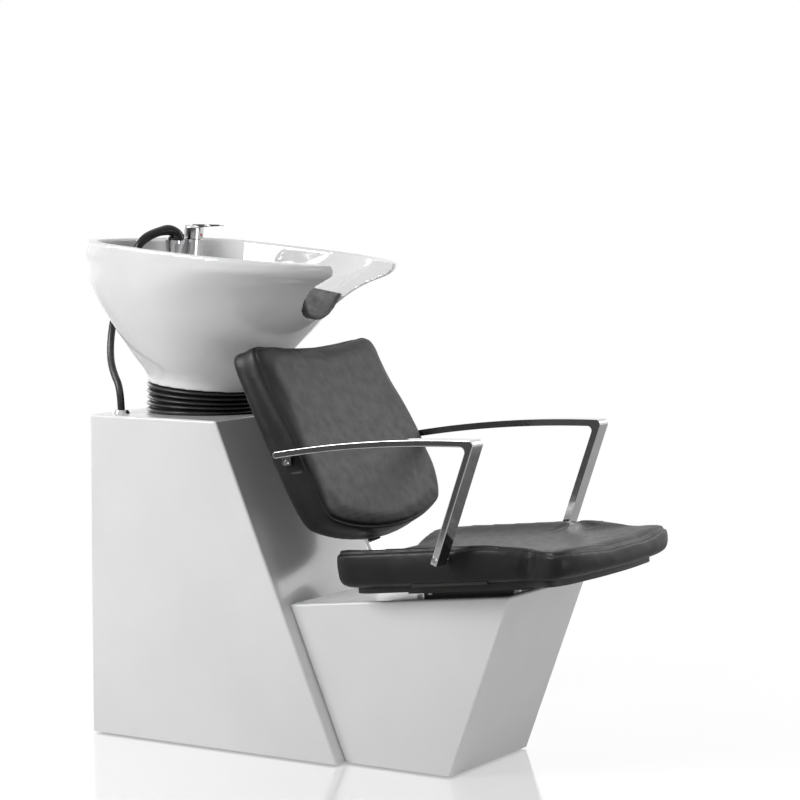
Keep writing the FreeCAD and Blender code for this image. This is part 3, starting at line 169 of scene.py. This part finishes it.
def softened_copy(name, node, voxel, smooth):
    """The node's own shape with its hard edges eased, as glaze or moulded rubber has them."""
    mesh = nodes[node].data.copy()
    mesh.name = name
    bm = bmesh.new()
    bm.from_mesh(mesh)
    bmesh.ops.remove_doubles(bm, verts=bm.verts, dist=WELD_DISTANCE)
    bm.to_mesh(mesh)
    bm.free()
    mesh.materials.clear()
    obj = bpy.data.objects.new(name, mesh)
    scene.collection.objects.link(obj)
    return remeshed(obj, voxel, smooth)


def step_up(low, high, value):
    """Rises smoothly from 0 at low to 1 at high."""
    t = np.clip((value - low) / (high - low), 0, 1)
    return t * t * (3 - 2 * t)


# Materials: each colour and roughness varies by noise, with a bump at the real grain's scale

TONE_RAMP = (0.35, 0.65)
WEAR_SPAN = (0.3, 0.7)
WEAR_SCALE = 3.7
TONE_DETAIL, WEAR_DETAIL, GRAIN_DETAIL = 5, 6, 3
COOL_CAST = 1.01


def link(tree, a, b):
    tree.links.new(a, b)


def noise_node(tree, scale, detail, stretch):
    coords = tree.nodes.new("ShaderNodeTexCoord")
    noise = tree.nodes.new("ShaderNodeTexNoise")
    noise.inputs["Scale"].default_value = scale
    noise.inputs["Detail"].default_value = detail
    source = coords.outputs["Object"]
    if stretch:
        mapping = tree.nodes.new("ShaderNodeMapping")
        mapping.inputs["Scale"].default_value = stretch
        link(tree, source, mapping.inputs["Vector"])
        source = mapping.outputs["Vector"]
    link(tree, source, noise.inputs["Vector"])
    return noise


def ramp_node(tree, source, low, high):
    ramp = tree.nodes.new("ShaderNodeValToRGB")
    for end, position, colour in zip(ramp.color_ramp.elements, TONE_RAMP, (low, high)):
        end.position = position
        end.color = (*colour, 1)
    link(tree, source, ramp.inputs["Fac"])
    return ramp


def range_node(tree, source, low, high):
    node = tree.nodes.new("ShaderNodeMapRange")
    node.inputs["From Min"].default_value, node.inputs["From Max"].default_value = WEAR_SPAN
    node.inputs["To Min"].default_value = low
    node.inputs["To Max"].default_value = high
    link(tree, source, node.inputs["Value"])
    return node


def finish_material(name, low, high, rough, tone_scale, grain, metallic=0.0, stretch=None, **sockets):
    """Tones from low to high, roughness over rough, and a grain of kind, scale, strength and distance."""
    mat = bpy.data.materials.new(name)
    mat.use_nodes = True
    tree = mat.node_tree
    shader = tree.nodes["Principled BSDF"]
    shader.inputs["Metallic"].default_value = metallic
    for socket, value in sockets.items():
        shader.inputs[socket.replace("_", " ")].default_value = value
    tone = noise_node(tree, tone_scale, TONE_DETAIL, stretch).outputs["Fac"]
    link(tree, ramp_node(tree, tone, low, high).outputs["Color"], shader.inputs["Base Color"])
    wear = noise_node(tree, tone_scale * WEAR_SCALE, WEAR_DETAIL, stretch).outputs["Fac"]
    link(tree, range_node(tree, wear, *rough).outputs["Result"], shader.inputs["Roughness"])
    kind, scale, strength, distance = grain
    bump = tree.nodes.new("ShaderNodeBump")
    bump.inputs["Strength"].default_value = strength
    bump.inputs["Distance"].default_value = distance
    if kind == "noise":
        height = noise_node(tree, scale, GRAIN_DETAIL, stretch).outputs["Fac"]
    else:
        cells = tree.nodes.new("ShaderNodeTexVoronoi")
        cells.feature = "SMOOTH_F1"
        cells.inputs["Scale"].default_value = scale
        coords = tree.nodes.new("ShaderNodeTexCoord")
        link(tree, coords.outputs["Object"], cells.inputs["Vector"])
        height = cells.outputs["Distance"]
    link(tree, height, bump.inputs["Height"])
    link(tree, bump.outputs["Normal"], shader.inputs["Normal"])
    return mat


def grey(value):
    return (value, value, value * COOL_CAST)


MATERIALS = {
    "casing": finish_material("casing", grey(0.70), grey(0.74), (0.16, 0.24), 4,
                              ("noise", 260, 0.02, 0.0004), Coat_Weight=0.35, Coat_Roughness=0.06),
    "ceramic": finish_material("ceramic", grey(0.71), grey(0.75), (0.05, 0.09), 6,
                               ("noise", 60, 0.012, 0.0006), Coat_Weight=0.4, Coat_Roughness=0.03),
    "leather": finish_material("leather", grey(0.006), grey(0.010), (0.37, 0.47), 14,
                               ("voronoi", 620, 0.14, 0.0006), Specular_IOR_Level=0.30),
    "chrome": finish_material("chrome", grey(0.56), grey(0.62), (0.05, 0.10), 24,
                              ("noise", 900, 0.015, 0.0002), 1.0),
    "bright_bolts": finish_material("bright_bolts", grey(0.48), grey(0.58), (0.18, 0.30), 60,
                                    ("noise", 1500, 0.04, 0.0002), 1.0),
    "black_steel": finish_material("black_steel", grey(0.012), grey(0.02), (0.32, 0.45), 30,
                                   ("noise", 700, 0.08, 0.0003)),
    "bellows_rubber": finish_material("bellows_rubber", grey(0.012), grey(0.022), (0.26, 0.42), 35,
                                      ("noise", 900, 0.06, 0.0003)),
    "neck_rubber": finish_material("neck_rubber", grey(0.045), grey(0.11), (0.40, 0.58), 70,
                                   ("noise", 650, 0.15, 0.0004)),
    "hose_rubber": finish_material("hose_rubber", grey(0.010), grey(0.018), (0.25, 0.38), 40,
                                   ("noise", 1200, 0.06, 0.0003)),
    "black_plastic": finish_material("black_plastic", grey(0.005), grey(0.008), (0.18, 0.28), 30,
                                     ("noise", 900, 0.04, 0.0002), Specular_IOR_Level=0.3),
    "white_plastic": finish_material("white_plastic", grey(0.62), grey(0.70), (0.30, 0.42), 30,
                                     ("noise", 900, 0.05, 0.0002)),
    "plywood": finish_material("plywood", (0.008, 0.0075, 0.007), (0.016, 0.015, 0.014), (0.45, 0.6),
                               14, ("noise", 320, 0.12, 0.0004), stretch=(1, 1, 14)),
    "marker": finish_material("marker", (0.45, 0.012, 0.012), (0.58, 0.02, 0.018), (0.25, 0.35), 200,
                              ("noise", 1500, 0.03, 0.0002)),
}


def paint(obj, slot):
    obj.data.materials.clear()
    obj.data.materials.append(MATERIALS[slot])


def piece(obj, slot, body, replaced):
    paint(obj, slot)
    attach(obj, body)
    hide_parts(replaced)


# Shower hose: its route from the basin's rear window down into the grommet on the pedestal

HOSE_ROUTE = [
    (-0.078, 0.39460, 0.89059), (-0.079, 0.426, 0.853), (-0.084, 0.433, 0.806),
    (-0.099, 0.424, 0.764), (-0.116, 0.404, 0.733), (-0.130, 0.372, 0.696), (-0.130, 0.372, 0.634),
]
HOSE_R = 0.0075
HOSE_SIDES = 20
ROUTE_STEPS = 24
ROUTE_ORDER = 3


def route_line(route):
    data = bpy.data.curves.new("hose_route", "CURVE")
    data.dimensions = "3D"
    data.resolution_u = ROUTE_STEPS
    spline = data.splines.new("NURBS")
    spline.points.add(len(route) - 1)
    for point, place in zip(spline.points, route):
        point.co = (*place, 1)
    spline.order_u = ROUTE_ORDER
    spline.use_endpoint_u = True
    curve = bpy.data.objects.new("hose_route", data)
    scene.collection.objects.link(curve)
    bpy.context.view_layer.update()
    line = bpy.data.meshes.new_from_object(curve)
    points = [v.co.copy() for v in line.vertices]
    bpy.data.objects.remove(curve)
    bpy.data.meshes.remove(line)
    return points


def shower_hose():
    path = route_line(HOSE_ROUTE)
    obj = tube("shower_hose_skin", path, HOSE_R, HOSE_SIDES)
    paint(obj, "hose_rubber")
    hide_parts("shower_hose")
    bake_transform(obj)


# Bellows: soft rounded folds between the pedestal top and the basin's collar

BELLOWS_R = 0.120
BELLOWS_DEPTH = 0.013
BELLOWS_FOLDS = 5
BELLOWS_SKIN = 0.004
BELLOWS_FOOT_Z = 0.650
BELLOWS_TOP_Z = 0.0195
BELLOWS_SIDES = 144
FOLD_STEPS = 14
FOLD_ROUNDNESS = 0.62
RIPPLE = 0.0009
WAVER = 0.0007


def bellows():
    low = Vector((0, HINGE_Y, BELLOWS_FOOT_Z))
    high = BASIN @ Vector((0, 0, BELLOWS_TOP_Z))
    count = BELLOWS_SIDES
    steps = BELLOWS_FOLDS * FOLD_STEPS
    verts = []
    for skin in (0.0, BELLOWS_SKIN):
        order = range(steps + 1) if skin == 0 else range(steps, -1, -1)
        for k in order:
            share = k / steps
            phase = share * BELLOWS_FOLDS
            fold = abs(math.sin(math.pi * phase)) ** FOLD_ROUNDNESS
            lean = math.radians(BASIN_REST_TILT) * share
            centre = low.lerp(high, share)
            out = Vector((0, math.cos(lean), math.sin(lean)))
            for j in range(count):
                a = 2 * math.pi * j / count
                ripple = RIPPLE * math.sin(3 * a + 2.1 * math.floor(phase)) * fold
                r = BELLOWS_R - BELLOWS_DEPTH * (1 - fold) - skin + ripple
                lift = WAVER * math.sin(2 * a + 1.3 * math.floor(phase)) * math.sin(math.pi * share)
                p = centre + Vector((1, 0, 0)) * (r * math.cos(a)) + out * (r * math.sin(a))
                verts.append(p + Vector((0, 0, lift)))
    rows = 2 * (steps + 1)
    faces = loop_faces(rows, count, capped=False)
    last = (rows - 1) * count
    faces += [(last + k, last + (k + 1) % count, (k + 1) % count, k) for k in range(count)]
    obj = mesh_object("bellows_skin", verts, faces)
    paint(obj, "bellows_rubber")
    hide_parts("bellows")
    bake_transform(obj)


# Cushions: a slightly small start shape swells under pressure, then its seams are drawn in.
# Plans and rows are in millimetres; caps, voxels and grooves are in metres.

LINE_STEPS = 24
PRESSURE = 3.0
CLOTH_FRAMES = 20
CLOTH_QUALITY = 4
STRETCH_STIFFNESS = 20
BENDING_STIFFNESS = 12
EASE_ROUNDS = 16
SEAM_ROUNDS = 6
START_SMOOTH = 2
TINY = 1e-9


def closed_line(points, count):
    """A closed smooth line through the points, as count points evenly along it."""
    p = np.array(points, float)
    dense = []
    for i in range(len(p)):
        a, b, c, d = p[i - 1], p[i], p[(i + 1) % len(p)], p[(i + 2) % len(p)]
        for k in range(LINE_STEPS):
            t = k / LINE_STEPS
            dense.append(0.5 * (2 * b + (c - a) * t + (2 * a - 5 * b + 4 * c - d) * t * t
                                + (3 * b - a - 3 * c + d) * t ** 3))
    dense = np.array(dense + [dense[0]])
    run = np.concatenate([[0], np.cumsum(np.linalg.norm(np.diff(dense, axis=0), axis=1))])
    spots = np.linspace(0, run[-1], count, endpoint=False)
    return np.stack([np.interp(spots, run, dense[:, k]) for k in range(dense.shape[1])], axis=1)


def eased(mesh, move, rounds):
    """Evens the moves between neighbours, so that taut leather keeps only its broad swell."""
    edges = np.array([e.vertices for e in mesh.edges])
    count = np.maximum(np.bincount(edges.ravel(), minlength=len(move)), 1)[:, None]
    for _ in range(rounds):
        total = np.zeros_like(move)
        np.add.at(total, edges[:, 0], move[edges[:, 1]])
        np.add.at(total, edges[:, 1], move[edges[:, 0]])
        move = 0.5 * move + 0.5 * total / count
    return move


def swollen(obj, held, cap):
    """Inflates obj by Blender's cloth with the held vertices pinned, no point moving further than cap."""
    group = obj.vertex_groups.new(name="held")
    group.add([int(i) for i in held], 1.0, "REPLACE")
    start = np.array([v.co for v in obj.data.vertices])
    cloth = obj.modifiers.new("cloth", "CLOTH")
    cloth.settings.use_pressure = True
    cloth.settings.uniform_pressure_force = PRESSURE
    cloth.settings.effector_weights.gravity = 0
    cloth.settings.vertex_group_mass = "held"
    cloth.settings.quality = CLOTH_QUALITY
    cloth.settings.tension_stiffness = STRETCH_STIFFNESS
    cloth.settings.compression_stiffness = STRETCH_STIFFNESS
    cloth.settings.bending_stiffness = BENDING_STIFFNESS
    cloth.collision_settings.use_collision = False
    cloth.point_cache.frame_start = 1
    cloth.point_cache.frame_end = CLOTH_FRAMES
    for step in range(1, CLOTH_FRAMES + 1):
        scene.frame_set(step)
    use(obj, cloth)
    scene.frame_set(1)
    end = np.array([v.co for v in obj.data.vertices])
    move = end - start
    size = np.linalg.norm(move, axis=1, keepdims=True)
    capped = np.where(size > cap, move * cap / np.maximum(size, TINY), move)
    move = eased(obj.data, capped, EASE_ROUNDS)
    obj.data.vertices.foreach_set("co", (start + move).ravel())
    obj.vertex_groups.clear()
    obj.data.update()


def subdivided(obj):
    step = obj.modifiers.new("finer", "SUBSURF")
    step.levels = 1
    use(obj, step)
    obj.data.shade_smooth()


def on_surface(obj, path):
    tree = BVHTree.FromObject(obj, bpy.context.evaluated_depsgraph_get())
    return [tree.find_nearest(Vector(p))[0] for p in path]


def groove(obj, path, width, depth):
    """Draws the surface in along a line, as a sewn seam does."""
    tree = KDTree(len(path))
    for i, p in enumerate(path):
        tree.insert(p, i)
    tree.balance()
    mesh = obj.data
    moved = []
    for v in mesh.vertices:
        near = tree.find(v.co)[2]
        if near < width:
            moved.append((v.index, v.co - v.normal * depth * (1 - (near / width) ** 2) ** 2))
    for index, place in moved:
        mesh.vertices[index].co = place
    mesh.update()


def seam_line(obj, ring):
    """The ring laid on obj, then evened along its length."""
    p = np.array([tuple(q) for q in on_surface(obj, ring)])
    for _ in range(SEAM_ROUNDS):
        p = 0.5 * p + 0.25 * (np.roll(p, 1, axis=0) + np.roll(p, -1, axis=0))
    return [Vector(q) for q in p]


def local_points(obj, where):
    """The vertices of obj in one of the CAD's frames, in millimetres."""
    inverse = where.inverted()
    return np.array([tuple(inverse @ v.co) for v in obj.data.vertices]) / MM


# Seat: half of its plan in the sloping seat frame, then rows of edge height share, side inset and
# front inset, and rows of dish share and the two insets for the top

SEAT_PLAN = [
    (0, -157), (55, -155), (105, -143), (165, -140), (203, -148), (218, -172), (222, -240),
    (223.5, -330), (223.5, -430), (221, -510), (215, -560), (219, -590), (228, -614), (229, -634),
    (213, -651), (165, -664), (85, -673), (0, -676),
]
SEAT_ROWS = [
    (0, 20, 30), (0.04, 13, 21), (0.10, 7, 12), (0.2, 3, 5.5), (0.34, 0.8, 1.6), (0.5, 0, 0),
    (0.66, 0, 0), (0.8, 0.4, 0.8), (0.9, 1.6, 3), (0.96, 4, 7), (1, 8, 12),
]
SEAT_TOP_ROWS = [
    (0.1, 15, 19), (0.3, 28, 34), (0.52, 42, 52), (0.72, 56, 70), (0.9, 78, 98), (1, 100, 130),
]
SEAT_HALF = 229
SEAT_BASE = 32.3
SEAT_SHRINK = 3.0
SHRINK_FULL_SHARE = 0.3
SHRINK_TOP_SHARE = 0.8
BOLSTER_H = 74.0
DISH_H = 53.0
FRONT_SPAN = (-470, -640)
SIDE_SPAN = (60, 205)
FRONT_DISH_DROP = 4
FRONT_BOLSTER_DROP = 19
SEAT_COUNT = 220
SEAT_VOXEL = 0.005
SEAT_HELD_H = 4
SEAT_SWELL = 0.005
SEAT_SEAM = (0.95, 3.0, 5.5, 900)
SEAT_SEAM_GROOVE = (0.006, 0.0028)

# Waist: a line down each side of the seat, drawn in broadly and then again as a fold
WAIST_X = 240.0
WAIST_Y = -560.0
WAIST_SLOPE = 0.12
WAIST_HEIGHTS = np.linspace(6, 62, 60)
WAIST_GROOVES = [(0.020, 0.0030), (0.005, 0.0020)]

# Creases that spread from the arm's foot over the seat's top
FOOT_PLACE = (206.0, -452.0, 110.0)
FOOT_CREASES = [(150.0, -428.0, 100.0), (148.0, -470.0, 100.0), (172.0, -506.0, 100.0)]
CREASE_COUNT = 40
CREASE_GROOVE = (0.012, 0.0011)


def seat_edge_height(x, y):
    front = step_up(*FRONT_SPAN, y)
    side = step_up(*SIDE_SPAN, np.abs(x))
    middle = DISH_H - FRONT_DISH_DROP * front
    return middle + (BOLSTER_H - FRONT_BOLSTER_DROP * front - middle) * side


def seat_plan(count):
    return closed_line(SEAT_PLAN + [(-x, y) for x, y in SEAT_PLAN[-2:0:-1]], count)


def seat_ring(share, side_in, front_in, count, dish=0.0):
    whole = seat_plan(count)
    rear, front = SEAT_PLAN[0][1], SEAT_PLAN[-1][1]
    middle, length = (rear + front) / 2, (rear - front) / 2
    shrink = side_in + (front_in - side_in) * (rear - whole[:, 1]) / (rear - front)
    x = whole[:, 0] * (SEAT_HALF - side_in) / SEAT_HALF
    y = middle + (whole[:, 1] - middle) * (length - shrink) / length
    edge = share * seat_edge_height(whole[:, 0], whole[:, 1])
    return np.stack([x, y, SEAT_BASE + edge + (DISH_H - edge) * dish], axis=1)


def placed(points, where):
    return [where @ Vector(p * MM) for p in points]


def lowered(ring, amount):
    ring[:, 2] -= amount
    return ring


def seat_cushion():
    rings = []
    for share, side, front in SEAT_ROWS:
        squeeze = SEAT_SHRINK * min(1, share / SHRINK_FULL_SHARE)
        ring = seat_ring(share, side + squeeze, front + squeeze, SEAT_COUNT)
        rings.append(lowered(ring, squeeze * (share > SHRINK_TOP_SHARE)))
    for dish, side, front in SEAT_TOP_ROWS:
        rings.append(lowered(seat_ring(1.0, side, front, SEAT_COUNT, dish), SEAT_SHRINK))
    faces = loop_faces(len(rings), SEAT_COUNT)
    obj = mesh_object("seat_leather", placed(np.concatenate(rings), SEAT), faces)
    remeshed(obj, SEAT_VOXEL, START_SMOOTH)
    held = np.nonzero(local_points(obj, SEAT)[:, 2] < SEAT_BASE + SEAT_HELD_H)[0]
    swollen(obj, held, SEAT_SWELL)
    subdivided(obj)
    groove(obj, seam_line(obj, placed(seat_ring(*SEAT_SEAM), SEAT)), *SEAT_SEAM_GROOVE)
    for side in (-1, 1):
        rows = np.array([(side * WAIST_X, WAIST_Y - WAIST_SLOPE * z, SEAT_BASE + z) for z in WAIST_HEIGHTS])
        waist = on_surface(obj, placed(rows, SEAT))
        for width, depth in WAIST_GROOVES:
            groove(obj, waist, width, depth)
    for end in FOOT_CREASES:
        rows = np.linspace(FOOT_PLACE, end, CREASE_COUNT)
        groove(obj, on_surface(obj, placed(rows, SEAT)), *CREASE_GROOVE)
    piece(obj, "leather", "base", "seat_cushion")


# Back: half of its plan in the leaning back frame, then rows of depth, inset and share of the lumbar
# swell, from the middle of the face round the edge to the board

BACK_PLAN = [
    (0, 11), (60, 14), (130, 25), (188, 43), (213, 61), (225, 103), (228, 165), (227.5, 230),
    (225.5, 300), (222, 370), (218, 407), (201, 423), (150, 422), (80, 416), (0, 413),
]
BACK_ROWS = [
    (-11, 100, 0), (-10.9, 80, 0.15), (-10.7, 62, 0.3), (-10.3, 42, 0.45), (-9.7, 26, 0.6),
    (-8.8, 16, 0.75), (-6.8, 9, 0.9), (-3.5, 4.5, 0.97), (0.5, 2, 1), (5, 0.8, 0.95), (12, 0, 0.8),
    (22, 0, 0.5), (34, 0, 0.2), (42, 0, 0.1), (48, 0, 0), (52, 0.8, 0), (54.5, 2.3, 0),
    (56.3, 4.2, 0), (57, 6.5, 0), (57, 10.5, 0), (52, 10.7, 0), (44.6, 10.7, 0),
]
BACK_HALF = 228
BACK_MIDDLE = 212
BACK_SHRINK = 2.5
SHRINK_FADE = (36, 44)
UNSHRUNK_ROWS = 3
LUMBAR = 7.0
LUMBAR_RISE, LUMBAR_FALL, HEAD_FALL = (20, 130), (190, 360), (250, 400)
HEAD_SHARE = 0.45
BACK_COUNT = 200
BACK_VOXEL = 0.004
BACK_HELD_DEPTH = 40
BACK_SWELL = 0.0035
BACK_SEAM = (-3.5, 4.5, 0.97, 800)
BACK_SEAM_GROOVE = (0.005, 0.0026)

# Tuck: a short crease in the right side
TUCK_X = -240.0
TUCK_Z = 158.0
TUCK_SLOPE = 0.3
TUCK_DEPTHS = np.linspace(4, 24, 30)
TUCK_GROOVE = (0.006, 0.0013)


def lumbar_reach(z):
    swell = step_up(*LUMBAR_RISE, z) * (1 - step_up(*LUMBAR_FALL, z))
    return LUMBAR * (swell - HEAD_SHARE * step_up(*HEAD_FALL, z))


def back_ring(y, inset, share, count):
    whole = closed_line(BACK_PLAN + [(-x, z) for x, z in BACK_PLAN[-2:0:-1]], count)
    x = whole[:, 0] * (BACK_HALF - inset) / BACK_HALF
    z = BACK_MIDDLE + (whole[:, 1] - BACK_MIDDLE) * (BACK_MIDDLE - inset) / BACK_MIDDLE
    return np.stack([x, y - share * lumbar_reach(whole[:, 1]), z], axis=1)


def back_cushion():
    rings = []
    for k, (y, inset, share) in enumerate(BACK_ROWS):
        squeeze = BACK_SHRINK * (1 - step_up(*SHRINK_FADE, y)) * (k < len(BACK_ROWS) - UNSHRUNK_ROWS)
        rings.append(back_ring(y + squeeze * (y < 0), inset + squeeze, share, BACK_COUNT))
    faces = [tuple(reversed(f)) for f in loop_faces(len(rings), BACK_COUNT)]
    obj = mesh_object("back_leather", placed(np.concatenate(rings), BACK), faces)
    remeshed(obj, BACK_VOXEL, START_SMOOTH)
    held = np.nonzero(local_points(obj, BACK)[:, 1] > BACK_HELD_DEPTH)[0]
    swollen(obj, held, BACK_SWELL)
    subdivided(obj)
    groove(obj, seam_line(obj, placed(back_ring(*BACK_SEAM), BACK)), *BACK_SEAM_GROOVE)
    tuck = np.array([(TUCK_X, y, TUCK_Z + TUCK_SLOPE * y) for y in TUCK_DEPTHS])
    groove(obj, on_surface(obj, placed(tuck, BACK)), *TUCK_GROOVE)
    piece(obj, "leather", "base", "back_cushion")


# Stage: glossy pale floor, white surroundings and soft boxes

FLOOR_HALF = 3.2
FLOOR_Z = -0.0005
FADE = (0.75, 1.5)
FLOOR_SHINE = 0.50
FLOOR_ROUGHNESS = 0.10
SEEN_MATT, SEEN_GLOW = 0.18, 0.39
MIRRORED_MATT, MIRRORED_GLOW = 0.30, 0.30
LIT_MATT = 0.8

WORLD_LEVEL = 0.24
ROOM_LEVEL = 0.10
BACKDROP = (0.854, 0.520, 0.0)
BACKDROP_SPAN = (-0.45, 0.30)
OVERHEAD = (0, 0, 1)
OVERHEAD_SPAN = (0.06, 0.30)

# Each soft box: name, place, target, size and watts
SOFTBOXES = [
    ("key", (-2.4, 1.4, 2.2), (0, 0.1, 0.6), (1.6, 1.4), 79),
    ("side", (2.7, -2.0, 2.0), (0, -0.2, 0.7), (2.0, 1.6), 26),
    ("front", (-0.6, -3.2, 0.4), (0, -0.3, 0.2), (1.6, 0.6), 14),
    ("rear", (1.6, 3.6, 1.5), (0, 0.1, 0.5), (1.8, 1.6), 30),
    ("top", (0.6, 0.4, 4.0), (0, 0, 0.6), (2.6, 2.6), 12),
]


def either(tree, *sockets):
    """The greatest of the sockets' values."""
    total = sockets[0]
    for other in sockets[1:]:
        step = tree.nodes.new("ShaderNodeMath")
        step.operation = "MAXIMUM"
        link(tree, total, step.inputs[0])
        link(tree, other, step.inputs[1])
        total = step.outputs["Value"]
    return total


def added(tree, a, b):
    node = tree.nodes.new("ShaderNodeAddShader")
    link(tree, a, node.inputs[0])
    link(tree, b, node.inputs[1])
    return node.outputs["Shader"]


def mixed(tree, factor, a, b):
    node = tree.nodes.new("ShaderNodeMixShader")
    link(tree, factor, node.inputs["Fac"])
    link(tree, a, node.inputs[1])
    link(tree, b, node.inputs[2])
    return node.outputs["Shader"]


def matt(tree, level):
    node = tree.nodes.new("ShaderNodeBsdfDiffuse")
    node.inputs["Color"].default_value = (level, level, level, 1)
    return node.outputs["BSDF"]


def glow(tree, level):
    node = tree.nodes.new("ShaderNodeEmission")
    node.inputs["Strength"].default_value = level
    return node.outputs["Emission"]


def stage():
    """Floor that is pale to the eye with a shadow and a faint reflection, and fades out with distance.

    Mirrors see it pale too, and to all other light it is plain matt.
    """
    corners = [(-1, -1), (1, -1), (1, 1), (-1, 1)]
    verts = [(x * FLOOR_HALF, y * FLOOR_HALF, FLOOR_Z) for x, y in corners]
    floor = mesh_object("floor", verts, [(0, 1, 2, 3)])
    mat = bpy.data.materials.new("floor")
    mat.use_nodes = True
    tree = mat.node_tree
    shine = tree.nodes.new("ShaderNodeBsdfGlossy")
    shine.inputs["Color"].default_value = (FLOOR_SHINE, FLOOR_SHINE, FLOOR_SHINE, 1)
    shine.inputs["Roughness"].default_value = FLOOR_ROUGHNESS
    path = tree.nodes.new("ShaderNodeLightPath")
    mirrored = either(tree, path.outputs["Is Glossy Ray"], path.outputs["Is Transmission Ray"])
    pale = added(tree, matt(tree, MIRRORED_MATT), glow(tree, MIRRORED_GLOW))
    sheet = added(tree, matt(tree, SEEN_MATT), glow(tree, SEEN_GLOW))
    sheet = added(tree, sheet, shine.outputs["BSDF"])
    surface = mixed(tree, mirrored, matt(tree, LIT_MATT), pale)
    place = tree.nodes.new("ShaderNodeNewGeometry")
    reach = tree.nodes.new("ShaderNodeVectorMath")
    reach.operation = "LENGTH"
    link(tree, place.outputs["Position"], reach.inputs[0])
    fade = tree.nodes.new("ShaderNodeMapRange")
    fade.interpolation_type = "SMOOTHSTEP"
    link(tree, reach.outputs["Value"], fade.inputs["Value"])
    fade.inputs["From Min"].default_value, fade.inputs["From Max"].default_value = FADE
    clear = tree.nodes.new("ShaderNodeBsdfTransparent")
    sheet = mixed(tree, fade.outputs["Result"], sheet, clear.outputs["BSDF"])
    surface = mixed(tree, path.outputs["Is Camera Ray"], surface, sheet)
    link(tree, surface, tree.nodes["Material Output"].inputs["Surface"])
    floor.data.materials.append(mat)


def surroundings():
    """White to the eye, and in mirrors towards the backdrop and overhead, with a darker room opposite."""
    world = bpy.data.worlds.new("studio")
    scene.world = world
    world.use_nodes = True
    tree = world.node_tree
    way = tree.nodes.new("ShaderNodeTexCoord").outputs["Generated"]
    shades = []
    for axis, span in ((BACKDROP, BACKDROP_SPAN), (OVERHEAD, OVERHEAD_SPAN)):
        along = tree.nodes.new("ShaderNodeVectorMath")
        along.operation = "DOT_PRODUCT"
        link(tree, way, along.inputs[0])
        along.inputs[1].default_value = axis
        shade = tree.nodes.new("ShaderNodeMapRange")
        shade.interpolation_type = "SMOOTHSTEP"
        link(tree, along.outputs["Value"], shade.inputs["Value"])
        shade.inputs["From Min"].default_value, shade.inputs["From Max"].default_value = span
        shade.inputs["To Min"].default_value = ROOM_LEVEL
        shade.inputs["To Max"].default_value = 1.0
        shades.append(shade.outputs["Result"])
    seen = either(tree, *shades)
    path = tree.nodes.new("ShaderNodeLightPath")
    colour = None
    for ray in ("Is Glossy Ray", "Is Transmission Ray", "Is Camera Ray"):
        mix = tree.nodes.new("ShaderNodeMix")
        mix.data_type = "RGBA"
        link(tree, path.outputs[ray], mix.inputs["Factor"])
        if colour is None:
            mix.inputs["A"].default_value = (WORLD_LEVEL, WORLD_LEVEL, WORLD_LEVEL, 1)
            link(tree, seen, mix.inputs["B"])
        else:
            link(tree, colour, mix.inputs["A"])
            mix.inputs["B"].default_value = (1, 1, 1, 1)
        colour = mix.outputs["Result"]
    link(tree, colour, tree.nodes["Background"].inputs["Color"])


def softbox(name, place, target, size, power):
    data = bpy.data.lights.new(name, "AREA")
    data.shape = "RECTANGLE"
    data.size, data.size_y = size
    data.energy = power
    lamp = bpy.data.objects.new(name, data)
    scene.collection.objects.link(lamp)
    lamp.location = place
    lamp.rotation_euler = (Vector(target) - Vector(place)).to_track_quat("-Z", "Y").to_euler()


# The CAD nodes that stay in view, then the two that get a softened copy

GLAZE_VOXEL, GLAZE_SMOOTH = 0.003, 8
PAD_VOXEL, PAD_SMOOTH = 0.002, 6


def dress_nodes():
    for entry in frame["record"]["subparts"]:
        paint(nodes[entry["node"]], entry["material_slot"])


stage()
surroundings()
for row in SOFTBOXES:
    softbox(*row)
shower_hose()
bellows()
dress_nodes()
glaze = softened_copy("basin_glaze", "basin", GLAZE_VOXEL, GLAZE_SMOOTH)
piece(glaze, "ceramic", "tilting_basin", "basin")
pad = softened_copy("neck_pad", "neck_rest", PAD_VOXEL, PAD_SMOOTH)
piece(pad, "neck_rubber", "tilting_basin", "neck_rest")
seat_cushion()
back_cushion()
